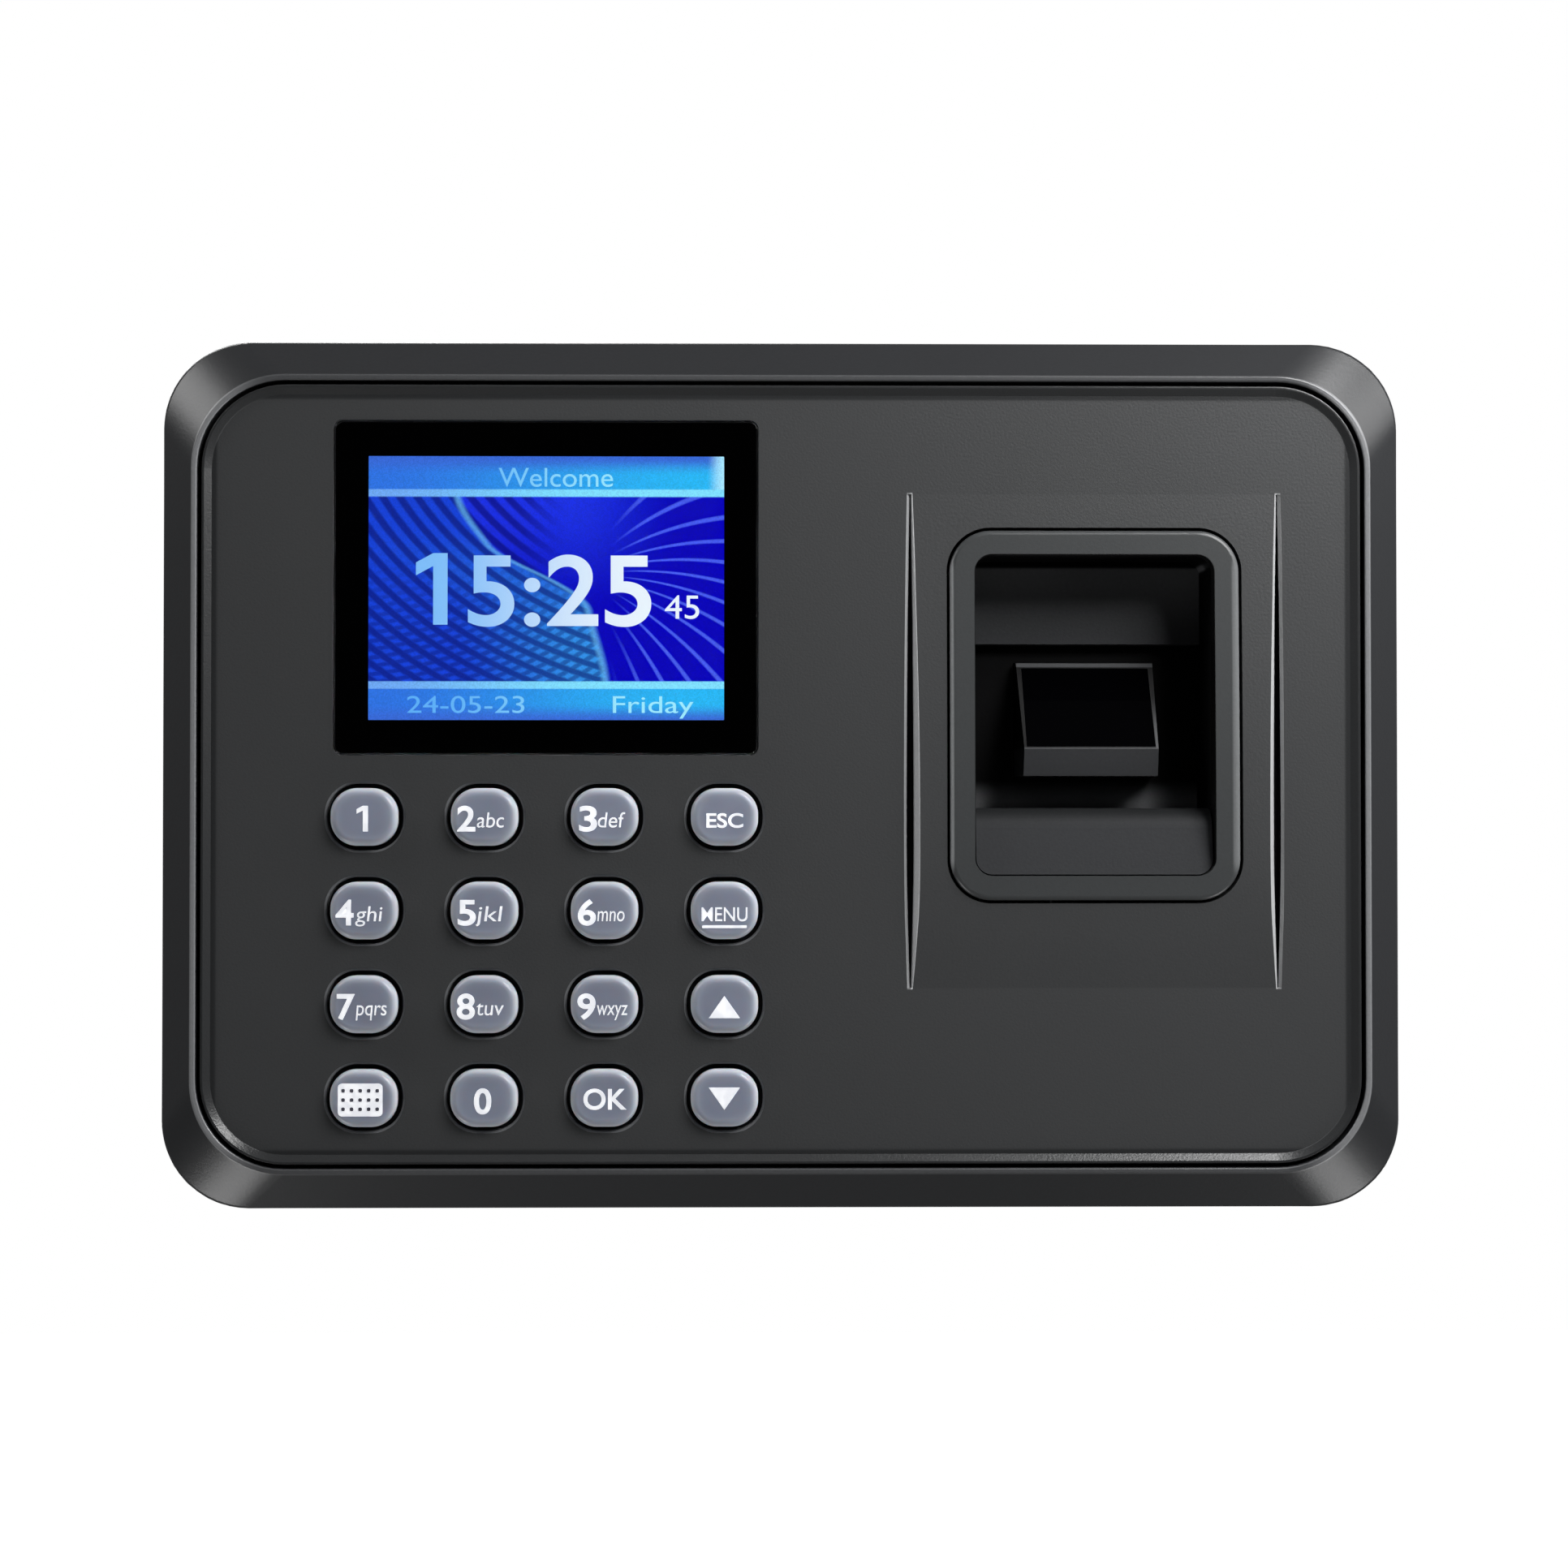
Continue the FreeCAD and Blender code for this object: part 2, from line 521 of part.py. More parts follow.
def display_gasket():
    frame = slab(60.0, 46.0, 1.0, PANEL_BACK_Y, LCD_FRONT_Y, SCREEN_X, SCREEN_Z)
    return frame.cut(slab(53.4, 40.4, 0.5, PANEL_BACK_Y - 1, LCD_FRONT_Y + 1, SCREEN_X, SCREEN_Z))


def display_panel():
    return slab(
        TRAY_W - 2 * TRAY_WALL - 0.2, TRAY_H - 2 * TRAY_WALL - 0.2, 0.3,
        LCD_FRONT_Y, LCD_FRONT_Y + LCD_T, SCREEN_X, SCREEN_Z)


def display_tray():
    tray = slab(TRAY_W, TRAY_H, 0.8, LCD_FRONT_Y, TRAY_BACK_Y, SCREEN_X, SCREEN_Z)
    return tray.cut(slab(
        TRAY_W - 2 * TRAY_WALL, TRAY_H - 2 * TRAY_WALL, 0.4,
        LCD_FRONT_Y - 1, LCD_FRONT_Y + LCD_T, SCREEN_X, SCREEN_Z))


def display_flex():
    start_z = SCREEN_Z - TRAY_H / 2
    route = [
        (SCREEN_X, -26.2, start_z),
        (SCREEN_X, -26.2, start_z - 1.3),
        (SCREEN_X, BOARD_Y - 0.15, start_z - 2.6),
        (SCREEN_X, BOARD_Y - 0.15, start_z - 4.4),
    ]
    return ribbon(route, 24.0, 0.2, 0.5)


# ---------------------------------------------------------------- keypad
def key_cap(x, z):
    """One key: a soft-edged translucent cap, a hidden flange that stops it, and a stem with a carbon pill."""
    cap = slab(KEY_W, KEY_H, KEY_R, KEY_FRONT_Y, FLANGE_Y0, x, z)
    cap = round_edges(cap, KEY_ROUND, edges_at_depth(cap, KEY_FRONT_Y))
    flange = slab(
        KEY_W + 2 * FLANGE_EXTRA, KEY_H + 2 * FLANGE_EXTRA, KEY_R + FLANGE_EXTRA, FLANGE_Y0, FLANGE_Y1, x, z)
    stem = disc_y(STEM_R, FLANGE_Y1, pill_front(), x, z)
    pill = disc_y(PILL_R, pill_front(), pill_back(), x, z)
    return fuse([cap, flange, stem, pill])


def pill_back():
    """Depth of the pill's contact face at rest: one travel, and a hair, above the contacts."""
    return BOARD_Y - 2 * PAD_T - KEY_TRAVEL


def pill_front():
    return pill_back() - PILL_T


def keypad_mat():
    """The silicone sheet that lies on the board, with a window under each key."""
    mat_w, mat_h = 3 * KEY_PITCH_X + 13.0, 3 * KEY_PITCH_Z + 12.0
    cx, cz = KEY_X0 + 1.5 * KEY_PITCH_X, KEY_Z0 - 1.5 * KEY_PITCH_Z - 0.4
    top = BOARD_Y - PAD_T - MAT_T
    sheet = slab(mat_w, mat_h, 2.0, top, BOARD_Y - PAD_T, cx, cz)
    return sheet.cut([slab(8.6, 7.8, 2.5, top - 1, BOARD_Y, x, z) for _, x, z in key_spots()])


def keypad_skirts():
    """The thin sloping walls that carry each key above the mat and fold when it is pressed."""
    top, bottom = FLANGE_Y1, BOARD_Y - PAD_T - MAT_T
    skirts = []
    for _, x, z in key_spots():
        outer = taper(outline(8.0, 7.0, 2.6, top, x, z), outline(10.2, 9.4, 3.3, bottom, x, z))
        inner = taper(outline(7.2, 6.2, 2.2, top, x, z), outline(9.4, 8.6, 2.9, bottom, x, z))
        skirts.append(outer.cut(inner))
    return group(skirts)


def key_contacts():
    """Gold contact pads on the board, one split disc under each key."""
    pads = []
    for _, x, z in key_spots():
        disc = disc_y(1.9, BOARD_Y - PAD_T, BOARD_Y, x, z)
        pads.append(disc.common(block(x - 3, x - 0.15, BOARD_Y - 1, BOARD_Y + 1, z - 3, z + 3)))
        pads.append(disc.common(block(x + 0.15, x + 3, BOARD_Y - 1, BOARD_Y + 1, z - 3, z + 3)))
    return group(pads)


def key_lights():
    """Side LEDs on the board that light each key from under its edge."""
    return group([
        block(x - 0.4, x + 0.4, BOARD_Y - 0.5, BOARD_Y, z + 2.7, z + 3.7) for _, x, z in key_spots()
    ])


# ---------------------------------------------------------------- finger scanner
def scanner_bezel():
    """The ring round the finger well. Its front follows the swelling and stands a little proud of it."""
    ring = slab(RING_W, RING_H, RING_R, RING_SEAT_Y, PANEL_Y - 6, SCAN_X, SCAN_Z)
    raised = swell_body(RING_PROUD, RING_SEAT_Y - 0.01, SWELL_W / 2)
    ring = ring.common(raised)
    front = [edge for edge in ring.Edges if edge.BoundBox.YMax < PANEL_Y - 0.2]
    ring = round_edges(ring, 0.7, front)
    hole = slab(WELL_W, WELL_H, WELL_R, RING_SEAT_Y - 9, RING_SEAT_Y + 2, SCAN_X, SCAN_Z)
    return ring.cut(hole)


def scanner_hood():
    """The finger guide behind the ring: an upright apron, a sensor cavity and a ramp in the ring's foot."""
    outer_w, outer_h = WELL_W + 2 * HOOD_WALL, WELL_H + 2 * HOOD_WALL
    top, bottom, half = SCAN_Z + WELL_H / 2, SCAN_Z - WELL_H / 2, WELL_W / 2
    nose = slab(
        WELL_W - 2 * RAMP_GAP, WELL_H - 2 * RAMP_GAP, WELL_R - RAMP_GAP,
        RAMP_FOOT_Y, RING_SEAT_Y + 0.3, SCAN_X, SCAN_Z)
    front = RAMP_FOOT_Y - 1
    foot = block(SCAN_X - half, SCAN_X + half, front, RING_SEAT_Y + 1, bottom, RAMP_TOP_Z)
    shell = fuse([
        slab(outer_w, outer_h, WELL_R + HOOD_WALL, PANEL_BACK_Y + 0.2, FLOOR_Y + HOOD_WALL, SCAN_X, SCAN_Z),
        slab(RING_W - 0.6, RING_H - 0.6, RING_R - 0.3, RING_SEAT_Y, PANEL_BACK_Y + 0.3, SCAN_X, SCAN_Z),
        nose.common(foot),
    ])
    cavity = side_profile(
        [
            (front, top), (APRON_Y, top), (APRON_Y, APRON_Z), (FLOOR_Y, APRON_Z),
            (FLOOR_Y, RAMP_TOP_Z), (RAMP_TOP_Y, RAMP_TOP_Z), (RAMP_FOOT_Y, bottom), (front, bottom),
        ],
        SCAN_X - half, SCAN_X + half,
    )
    shoulder = [
        edge for edge in cavity.Edges
        if abs(edge.BoundBox.ZMin - RAMP_TOP_Z) < 0.01 and abs(edge.BoundBox.YMax - RAMP_TOP_Y) < 0.01
        and edge.BoundBox.XLength > half
    ]
    cavity = round_edges(cavity, RAMP_TURN, shoulder)
    mouth = slab(WELL_W, WELL_H, WELL_R, front, FLOOR_Y + 1, SCAN_X, SCAN_Z)
    window = block(
        SCAN_X - BLOCK_HALF_BACK - 0.15, SCAN_X + BLOCK_HALF_BACK + 0.15,
        FLOOR_Y - 1, FLOOR_Y + HOOD_WALL + 1, BLOCK_Z0 - 0.15, BLOCK_Z1 + 0.15)
    return shell.cut([cavity.common(mouth), window])


def sensor_block():
    """The whole block that the finger presses: its lower edge stands further out than its upper edge."""
    wedge = side_profile(
        [
            (BLOCK_BACK_Y, BLOCK_Z1), (BLOCK_TOP_Y, BLOCK_Z1), BLOCK_NOSE, (BLOCK_FOOT_Y, BLOCK_Z0),
            (BLOCK_BACK_Y, BLOCK_Z0),
        ],
        SCAN_X - BLOCK_HALF_BACK - 1, SCAN_X + BLOCK_HALF_BACK + 1,
    )
    height, middle = BLOCK_Z1 - BLOCK_Z0 + 4, (BLOCK_Z0 + BLOCK_Z1) / 2
    sides = taper(
        outline(2 * BLOCK_HALF_FRONT, height, 0.1, -29.0, SCAN_X, middle),
        outline(2 * BLOCK_HALF_BACK, height, 0.1, BLOCK_BACK_Y, SCAN_X, middle),
    )
    return wedge.common(sides)


def glass_space(slack):
    return block(
        SCAN_X - GLASS_HALF - slack, SCAN_X + GLASS_HALF + slack, -30, BLOCK_BACK_Y + 1,
        GLASS_Z0 - slack, GLASS_Z1 + slack)


def scanner_prism():
    """The dark glass wedge behind the sloping face."""
    return sensor_block().common(glass_space(0.0))


def prism_surround():
    """The grey block that frames the glass and forms the face below it."""
    return sensor_block().cut(glass_space(0.02))


def scanner_holder():
    """The black frame that clamps the block's foot against the hood."""
    front = FLOOR_Y + HOOD_WALL
    middle_z = (BLOCK_Z0 + BLOCK_Z1) / 2
    frame = block(SCAN_X - 15, SCAN_X + 15, front, SENSOR_BOARD_Y, middle_z - 12, middle_z + 12)
    tunnel = block(
        SCAN_X - BLOCK_HALF_BACK + 0.8, SCAN_X + BLOCK_HALF_BACK - 0.8,
        front - 1, SENSOR_BOARD_Y + 1, BLOCK_Z0 + 0.8, BLOCK_Z1 - 0.8)
    foot = block(
        SCAN_X - BLOCK_HALF_BACK - 0.1, SCAN_X + BLOCK_HALF_BACK + 0.1,
        front - 1, BLOCK_BACK_Y + 0.05, BLOCK_Z0 - 0.1, BLOCK_Z1 + 0.1)
    return frame.cut([tunnel, foot])


def scanner_lens():
    """The small camera lens behind the prism."""
    z = (BLOCK_Z0 + BLOCK_Z1) / 2
    barrel = disc_y(3.2, BLOCK_BACK_Y + 0.4, SENSOR_BOARD_Y, SCAN_X, z)
    return barrel.cut(disc_y(2.0, BLOCK_BACK_Y - 1, BLOCK_BACK_Y + 1.2, SCAN_X, z))


def scanner_board():
    return slab(40.0, 46.0, 1.5, SENSOR_BOARD_Y, SENSOR_BOARD_Y + SENSOR_BOARD_T, SCAN_X, SCAN_Z)


def scanner_lights():
    """LEDs that light the prism from behind, inside the holder."""
    middle_z = (BLOCK_Z0 + BLOCK_Z1) / 2
    return group([
        block(SCAN_X + dx - 1, SCAN_X + dx + 1, SENSOR_BOARD_Y - 0.8, SENSOR_BOARD_Y,
              middle_z + dz - 0.7, middle_z + dz + 0.7)
        for dx in (-7.5, 7.5) for dz in (-5.5, 5.5)
    ])


# ---------------------------------------------------------------- electronics
def main_board():
    width, height = BOARD_X1 - BOARD_X0, BOARD_Z1 - BOARD_Z0
    middle_x, middle_z = (BOARD_X0 + BOARD_X1) / 2, (BOARD_Z0 + BOARD_Z1) / 2
    board = slab(width, height, 1.5, BOARD_Y, BOARD_BACK_Y, middle_x, middle_z)
    return board.cut([disc_y(1.3, BOARD_Y - 1, BOARD_BACK_Y + 1, x, z) for x, z in BOARD_POSTS])


def on_board(x, z, width, height, tall):
    """A block that stands on the main board's back."""
    half_w, half_h = width / 2, height / 2
    return block(x - half_w, x + half_w, BOARD_BACK_Y, BOARD_BACK_Y + tall, z - half_h, z + half_h)


def processor():
    return on_board(-34.0, 12.0, 14.0, 14.0, 1.4)


def memory_chips():
    return group([on_board(-54.0, 14.0, 6.0, 5.0, 1.2), on_board(-54.0, 4.0, 8.0, 6.0, 1.2)])


def crystal():
    return slab(10.6, 4.2, 2.09, BOARD_BACK_Y, BOARD_BACK_Y + 3.4, -14.0, 12.0)


def capacitors():
    return group([disc_y(2.5, BOARD_BACK_Y, BOARD_BACK_Y + 5.6, x, -38.0) for x in (-58.0, -50.0, -42.0)])


def coin_cell():
    return disc_y(6.2, BOARD_BACK_Y + 1.0, BOARD_BACK_Y + 3.0, -16.0, -22.0)


def coin_cell_holder():
    cup = disc_y(7.4, BOARD_BACK_Y, BOARD_BACK_Y + 4.2, -16.0, -22.0)
    return cup.cut(disc_y(6.3, BOARD_BACK_Y + 1.0, BOARD_BACK_Y + 6, -16.0, -22.0))


def cable_sockets():
    """Sockets on the main board for the scanner's and the speaker's leads."""
    return group([on_board(-6.0, 26.0, 5.0, 14.0, 4.6), on_board(-6.0, -38.0, 5.0, 6.0, 4.6)])


def reset_switch():
    return on_board(RESET_X, RESET_Z, 6.0, 6.0, 3.4)


def reset_plunger():
    return disc_y(1.7, BOARD_BACK_Y + 3.45, BOARD_BACK_Y + 5.4, RESET_X, RESET_Z)


def usb_shell():
    mouth, back = -CASE_H / 2 + 1.2, -CASE_H / 2 + 15.2
    tin = 0.35
    shell = block(USB_X - USB_W / 2, USB_X + USB_W / 2, USB_Y0, USB_Y1, mouth, back)
    return shell.cut(block(
        USB_X - USB_W / 2 + tin, USB_X + USB_W / 2 - tin, USB_Y0 + tin, USB_Y1 - tin, mouth - 1, back - tin))


def usb_tongue():
    mouth, back = -CASE_H / 2 + 2.2, -CASE_H / 2 + 15.2 - 0.35
    middle = (USB_Y0 + USB_Y1) / 2
    tongue = block(USB_X - 5.6, USB_X + 5.6, middle - 0.2, middle + 1.6, mouth, back)
    half = USB_W / 2 - 0.4
    heel = block(USB_X - half, USB_X + half, USB_Y0 + 0.4, USB_Y1 - 0.4, back - 2.5, back)
    return tongue.fuse(heel).removeSplitter()


def power_jack():
    low = -CASE_H / 2
    body = block(JACK_X - 4.5, JACK_X + 4.5, BOARD_BACK_Y + 0.05, -14.3, low + WALL + 0.2, low + 15.6)
    nozzle = disc_z(JACK_NOZZLE_R, low + 0.6, low + WALL + 0.3, JACK_X, JACK_Y)
    return body.fuse(nozzle).removeSplitter().cut(disc_z(JACK_BORE_R, low - 1, low + 10.6, JACK_X, JACK_Y))


def power_jack_pin():
    low = -CASE_H / 2
    pin = disc_z(1.0, low + 2.2, low + 10.6, JACK_X, JACK_Y)
    return round_edges(pin, 0.6, [min(pin.Edges, key=lambda edge: edge.BoundBox.ZMax)])


# ---------------------------------------------------------------- speaker
def funnel(small, large, y, length):
    """A cone on the speaker's axis that opens towards the back."""
    return Part.makeCone(small, large, length, Vector(SPEAKER_X, y, SPEAKER_Z), Vector(0, 1, 0))


def speaker_frame():
    """The speaker's steel basket with its magnet behind."""
    face = BACK_Y - COVER_WALL - 0.6
    basket = funnel(5.0, SPEAKER_R, face - 3.6, 3.6)
    inside = funnel(4.3, SPEAKER_R - 1.0, face - 2.99, 3.0)
    magnet = disc_y(6.5, face - 6.6, face - 3.6, SPEAKER_X, SPEAKER_Z)
    return fuse([basket.cut(inside), magnet])


def speaker_cone():
    face = BACK_Y - COVER_WALL - 0.6
    outer = funnel(3.6, SPEAKER_R - 1.6, face - 2.7, 2.4)
    inner = funnel(3.3, SPEAKER_R - 1.9, face - 2.45, 2.41)
    return outer.cut(inner)


# ---------------------------------------------------------------- fasteners
def case_screws():
    head_seat = -5.6
    return group([
        screw(SCREW_R, 2.9, 2.2, 12.6, Vector(sx * POST_X, head_seat, sz * POST_Z), Vector(0, -1, 0))
        for sx in (-1, 1) for sz in (-1, 1)
    ])


def threaded_inserts():
    return group([
        disc_y(INSERT_R, SEAM_Y - INSERT_LENGTH, SEAM_Y, sx * POST_X, sz * POST_Z).cut(
            disc_y(SCREW_R + 0.05, SEAM_Y - INSERT_LENGTH - 1, SEAM_Y + 1, sx * POST_X, sz * POST_Z))
        for sx in (-1, 1) for sz in (-1, 1)
    ])


def board_screws():
    return group([
        screw(1.1, 2.3, 1.5, 4.6, Vector(x, BOARD_BACK_Y, z), Vector(0, -1, 0)) for x, z in BOARD_POSTS
    ])


def panel_screws():
    return group([
        screw(1.1, 2.3, 1.5, 4.4, Vector(x, LEDGE_Y + LEDGE_T, z), Vector(0, -1, 0)) for x, z in EAR_SPOTS
    ])


def lock_screw():
    return screw(SCREW_R, 2.5, 2.0, 6.8, Vector(0, LOCK_Y, FLANGE_Z0), Vector(0, 0, 1))


# ---------------------------------------------------------------- wall plate
def wall_plate():
    """Steel plate with four upward hooks and a bottom flange that takes the locking screw."""
    pieces = [slab(PLATE_W, PLATE_H, PLATE_R, -PLATE_T, 0)]
    holes = []
    neck_end = POCKET_Y - POCKET_WALL - 0.5
    for top in HOOK_TOPS:
        for sx in (-1, 1):
            x0, x1 = sx * HOOK_X - HOOK_W / 2, sx * HOOK_X + HOOK_W / 2
            pieces.append(block(x0, x1, neck_end - PLATE_T, -PLATE_T, top - PLATE_T, top))
            pieces.append(block(x0, x1, neck_end - PLATE_T, neck_end, top - PLATE_T, top + HOOK_LIP))
            holes.append(block(x0 - 0.6, x1 + 0.6, -PLATE_T - 1, 1, top, top + 12.5))
    pieces.append(block(-7.0, 7.0, -6.2, -PLATE_T, FLANGE_Z0, FLANGE_Z0 + PLATE_T))
    for sx in (-1, 1):
        for sz in (-1, 1):
            holes.append(disc_y(BOLT_HOLE_R, -PLATE_T - 1, 1, sx * BOLT_X, sz * BOLT_Z))
    holes.append(disc_z(SCREW_R + 0.1, FLANGE_Z0 - 1, FLANGE_Z0 + PLATE_T + 1, 0, LOCK_Y))
    return cut(fuse(pieces), holes)


SUBPARTS = {
    "wall_plate": wall_plate,
    "front_frame": front_frame,
    "face_panel": face_panel,
    "rear_cover": rear_cover,
    "rear_label": rear_label,
    "display_lens": display_lens,
    "display_mask": display_mask,
    "display_gasket": display_gasket,
    "display_panel": display_panel,
    "display_tray": display_tray,
    "display_flex": display_flex,
    "keypad_mat": keypad_mat,
    "keypad_skirts": keypad_skirts,
    "key_contacts": key_contacts,
    "key_lights": key_lights,
    "scanner_bezel": scanner_bezel,
    "scanner_hood": scanner_hood,
    "scanner_prism": scanner_prism,
    "prism_surround": prism_surround,
    "scanner_holder": scanner_holder,
    "scanner_lens": scanner_lens,
    "scanner_board": scanner_board,
    "scanner_lights": scanner_lights,
    "main_board": main_board,
    "processor": processor,
    "memory_chips": memory_chips,
    "crystal": crystal,
    "capacitors": capacitors,
    "coin_cell": coin_cell,
    "coin_cell_holder": coin_cell_holder,
    "cable_sockets": cable_sockets,
    "reset_switch": reset_switch,
    "reset_plunger": reset_plunger,
    "usb_shell": usb_shell,
    "usb_tongue": usb_tongue,
    "power_jack": power_jack,
    "power_jack_pin": power_jack_pin,
    "speaker_frame": speaker_frame,
    "speaker_cone": speaker_cone,
    "case_screws": case_screws,
    "threaded_inserts": threaded_inserts,
    "board_screws": board_screws,
    "panel_screws": panel_screws,
    "lock_screw": lock_screw,
}


def main():
    os.makedirs("parts", exist_ok=True)
    for name, make in SUBPARTS.items():
        save(name, make())
    for name, x, z in key_spots():
        save("key_" + name, key_cap(x, z))


def save(name, shape):
    """Writes one sub-part, and says so if it isn't a set of sound solids."""
    sound = shape.isValid() and len(shape.Solids) > 0 and all(solid.Volume > 0 for solid in shape.Solids)
    print(f"{name:18s} {len(shape.Solids):3d} solids {shape.Volume:10.1f} mm3 {'' if sound else 'NOT SOUND'}")
    shape.exportStep(os.path.join("parts", name + ".step"))


main()
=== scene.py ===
import math

import bpy
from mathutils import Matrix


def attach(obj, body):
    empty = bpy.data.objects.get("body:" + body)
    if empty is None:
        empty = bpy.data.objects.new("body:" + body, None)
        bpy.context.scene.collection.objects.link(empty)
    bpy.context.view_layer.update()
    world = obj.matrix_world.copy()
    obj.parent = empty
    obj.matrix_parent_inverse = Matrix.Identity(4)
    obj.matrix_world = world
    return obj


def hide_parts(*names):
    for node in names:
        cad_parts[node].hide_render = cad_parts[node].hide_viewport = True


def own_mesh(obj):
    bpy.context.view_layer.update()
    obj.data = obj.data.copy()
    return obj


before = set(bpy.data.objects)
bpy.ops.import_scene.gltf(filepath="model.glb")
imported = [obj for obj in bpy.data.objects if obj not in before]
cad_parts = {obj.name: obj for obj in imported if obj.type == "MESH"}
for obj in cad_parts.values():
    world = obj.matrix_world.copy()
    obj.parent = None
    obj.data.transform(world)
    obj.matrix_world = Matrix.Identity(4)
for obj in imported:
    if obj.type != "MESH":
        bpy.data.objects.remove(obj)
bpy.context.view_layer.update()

MM = 0.001

# ---- sizes of what is drawn on the terminal, in millimetres ----
SCREEN_X, SCREEN_Z = -34.1, 26.9
PICTURE_W, PICTURE_H = 51.4, 38.2
PICTURE_Y = -28.25
BAR_EDGE = 0.703            # where the picture's top and bottom bars begin, as a share of half its height
KEY_X0, KEY_Z0 = -60.1, -6.2
KEY_PITCH_X, KEY_PITCH_Z = 17.26, 13.46
KEY_W, KEY_H = 9.7, 8.3
PRINT_Y = -32.52            # face of the printed key symbols
PRINT_THICK = 0.04
SCAN_X, SCAN_Z = 45.1, 8.5
RING_W, RING_H = 41.8, 53.4
WELL_W, WELL_H, WELL_R = 34.6, 46.4, 2.5
WELL_TOP = SCAN_Z + WELL_H / 2
SKIRT_HEAD_Y, SKIRT_FOOT_Y = -27.5, -25.55     # from the back of a key to the mat
SKIRT_HEAD_W, SKIRT_HEAD_H = 8.0, 7.0
SKIRT_FOOT_W, SKIRT_FOOT_H, SKIRT_R = 10.2, 9.4, 3.3
SKIRT_WALL = 0.4
SWELL_W, SWELL_TOP, SWELL_BOTTOM = 53.2, 40.5, -30.9
SWELL_DRAFT = 0.45          # how far the swelling's sides lean in per millimetre of height
GROOVE_HALF = 0.5           # half the greatest width of the two crescent grooves
GROOVE_LIP = 0.42           # width of the slope between a groove and the flat of the panel
GROOVE_SHAPE = [            # share of the way down, and share of that half width
    (0.0, 0.12), (0.22, 0.64), (0.57, 1.0), (0.78, 0.94), (0.91, 0.5), (1.0, 0.12),
]
PANEL_Y, LIP_Y = -31.0, -31.9
APRON_FOOT, RAMP_TOP_Z = 19.5, -4.9
GLASS_HALF, GLASS_TOP, BLOCK_NOSE_Z = 9.4, 15.9, 3.7


# ================================================================ node helpers
def rgb(red, green, blue):
    """A linear colour from everyday 0 to 255 values."""
    linear = []
    for part in (red, green, blue):
        c = part / 255
        linear.append(c / 12.92 if c <= 0.04045 else ((c + 0.055) / 1.055) ** 2.4)
    return (*linear, 1.0)


def put(tree, node_input, source):
    """Links a socket into an input, or sets the input to a plain value."""
    if isinstance(source, bpy.types.NodeSocket):
        tree.links.new(source, node_input)
    else:
        node_input.default_value = source


def calc(tree, operation, *sources):
    node = tree.nodes.new("ShaderNodeMath")
    node.operation = operation
    for slot, source in zip(node.inputs, sources):
        put(tree, slot, source)
    return node.outputs[0]


def remap(tree, value, low, high, to_low=0.0, to_high=1.0):
    """A smooth step from to_low to to_high as value runs from low to high."""
    node = tree.nodes.new("ShaderNodeMapRange")
    node.interpolation_type = "SMOOTHSTEP"
    for slot, source in zip(node.inputs, (value, low, high, to_low, to_high)):
        put(tree, slot, source)
    return node.outputs[0]


def blend(tree, mask, first, second, mode="MIX"):
    node = tree.nodes.new("ShaderNodeMix")
    node.data_type = "RGBA"
    node.blend_type = mode
    put(tree, node.inputs["Factor"], mask)
    put(tree, node.inputs[6], first)
    put(tree, node.inputs[7], second)
    return node.outputs[2]


def noise(tree, scale, detail=2.0):
    node = tree.nodes.new("ShaderNodeTexNoise")
    put(tree, node.inputs["Vector"], place(tree))
    put(tree, node.inputs["Scale"], scale)
    node.inputs["Detail"].default_value = detail
    return node.outputs["Fac"]


def place(tree):
    """The point's place on the object, in metres."""
    return tree.nodes.new("ShaderNodeTexCoord").outputs["Object"]


def axes(tree):
    """The point's x, y and z in millimetres."""
    split = tree.nodes.new("ShaderNodeSeparateXYZ")
    put(tree, split.inputs[0], place(tree))
    return [calc(tree, "MULTIPLY", output, 1 / MM) for output in split.outputs]


# ================================================================ shared effects
def new_group(name, inputs, outputs):
    group = bpy.data.node_groups.new(name, "ShaderNodeTree")
    for label, kind in inputs:
        group.interface.new_socket(label, in_out="INPUT", socket_type=kind)
    for label, kind in outputs:
        group.interface.new_socket(label, in_out="OUTPUT", socket_type=kind)
    return group, group.nodes.new("NodeGroupInput"), group.nodes.new("NodeGroupOutput")


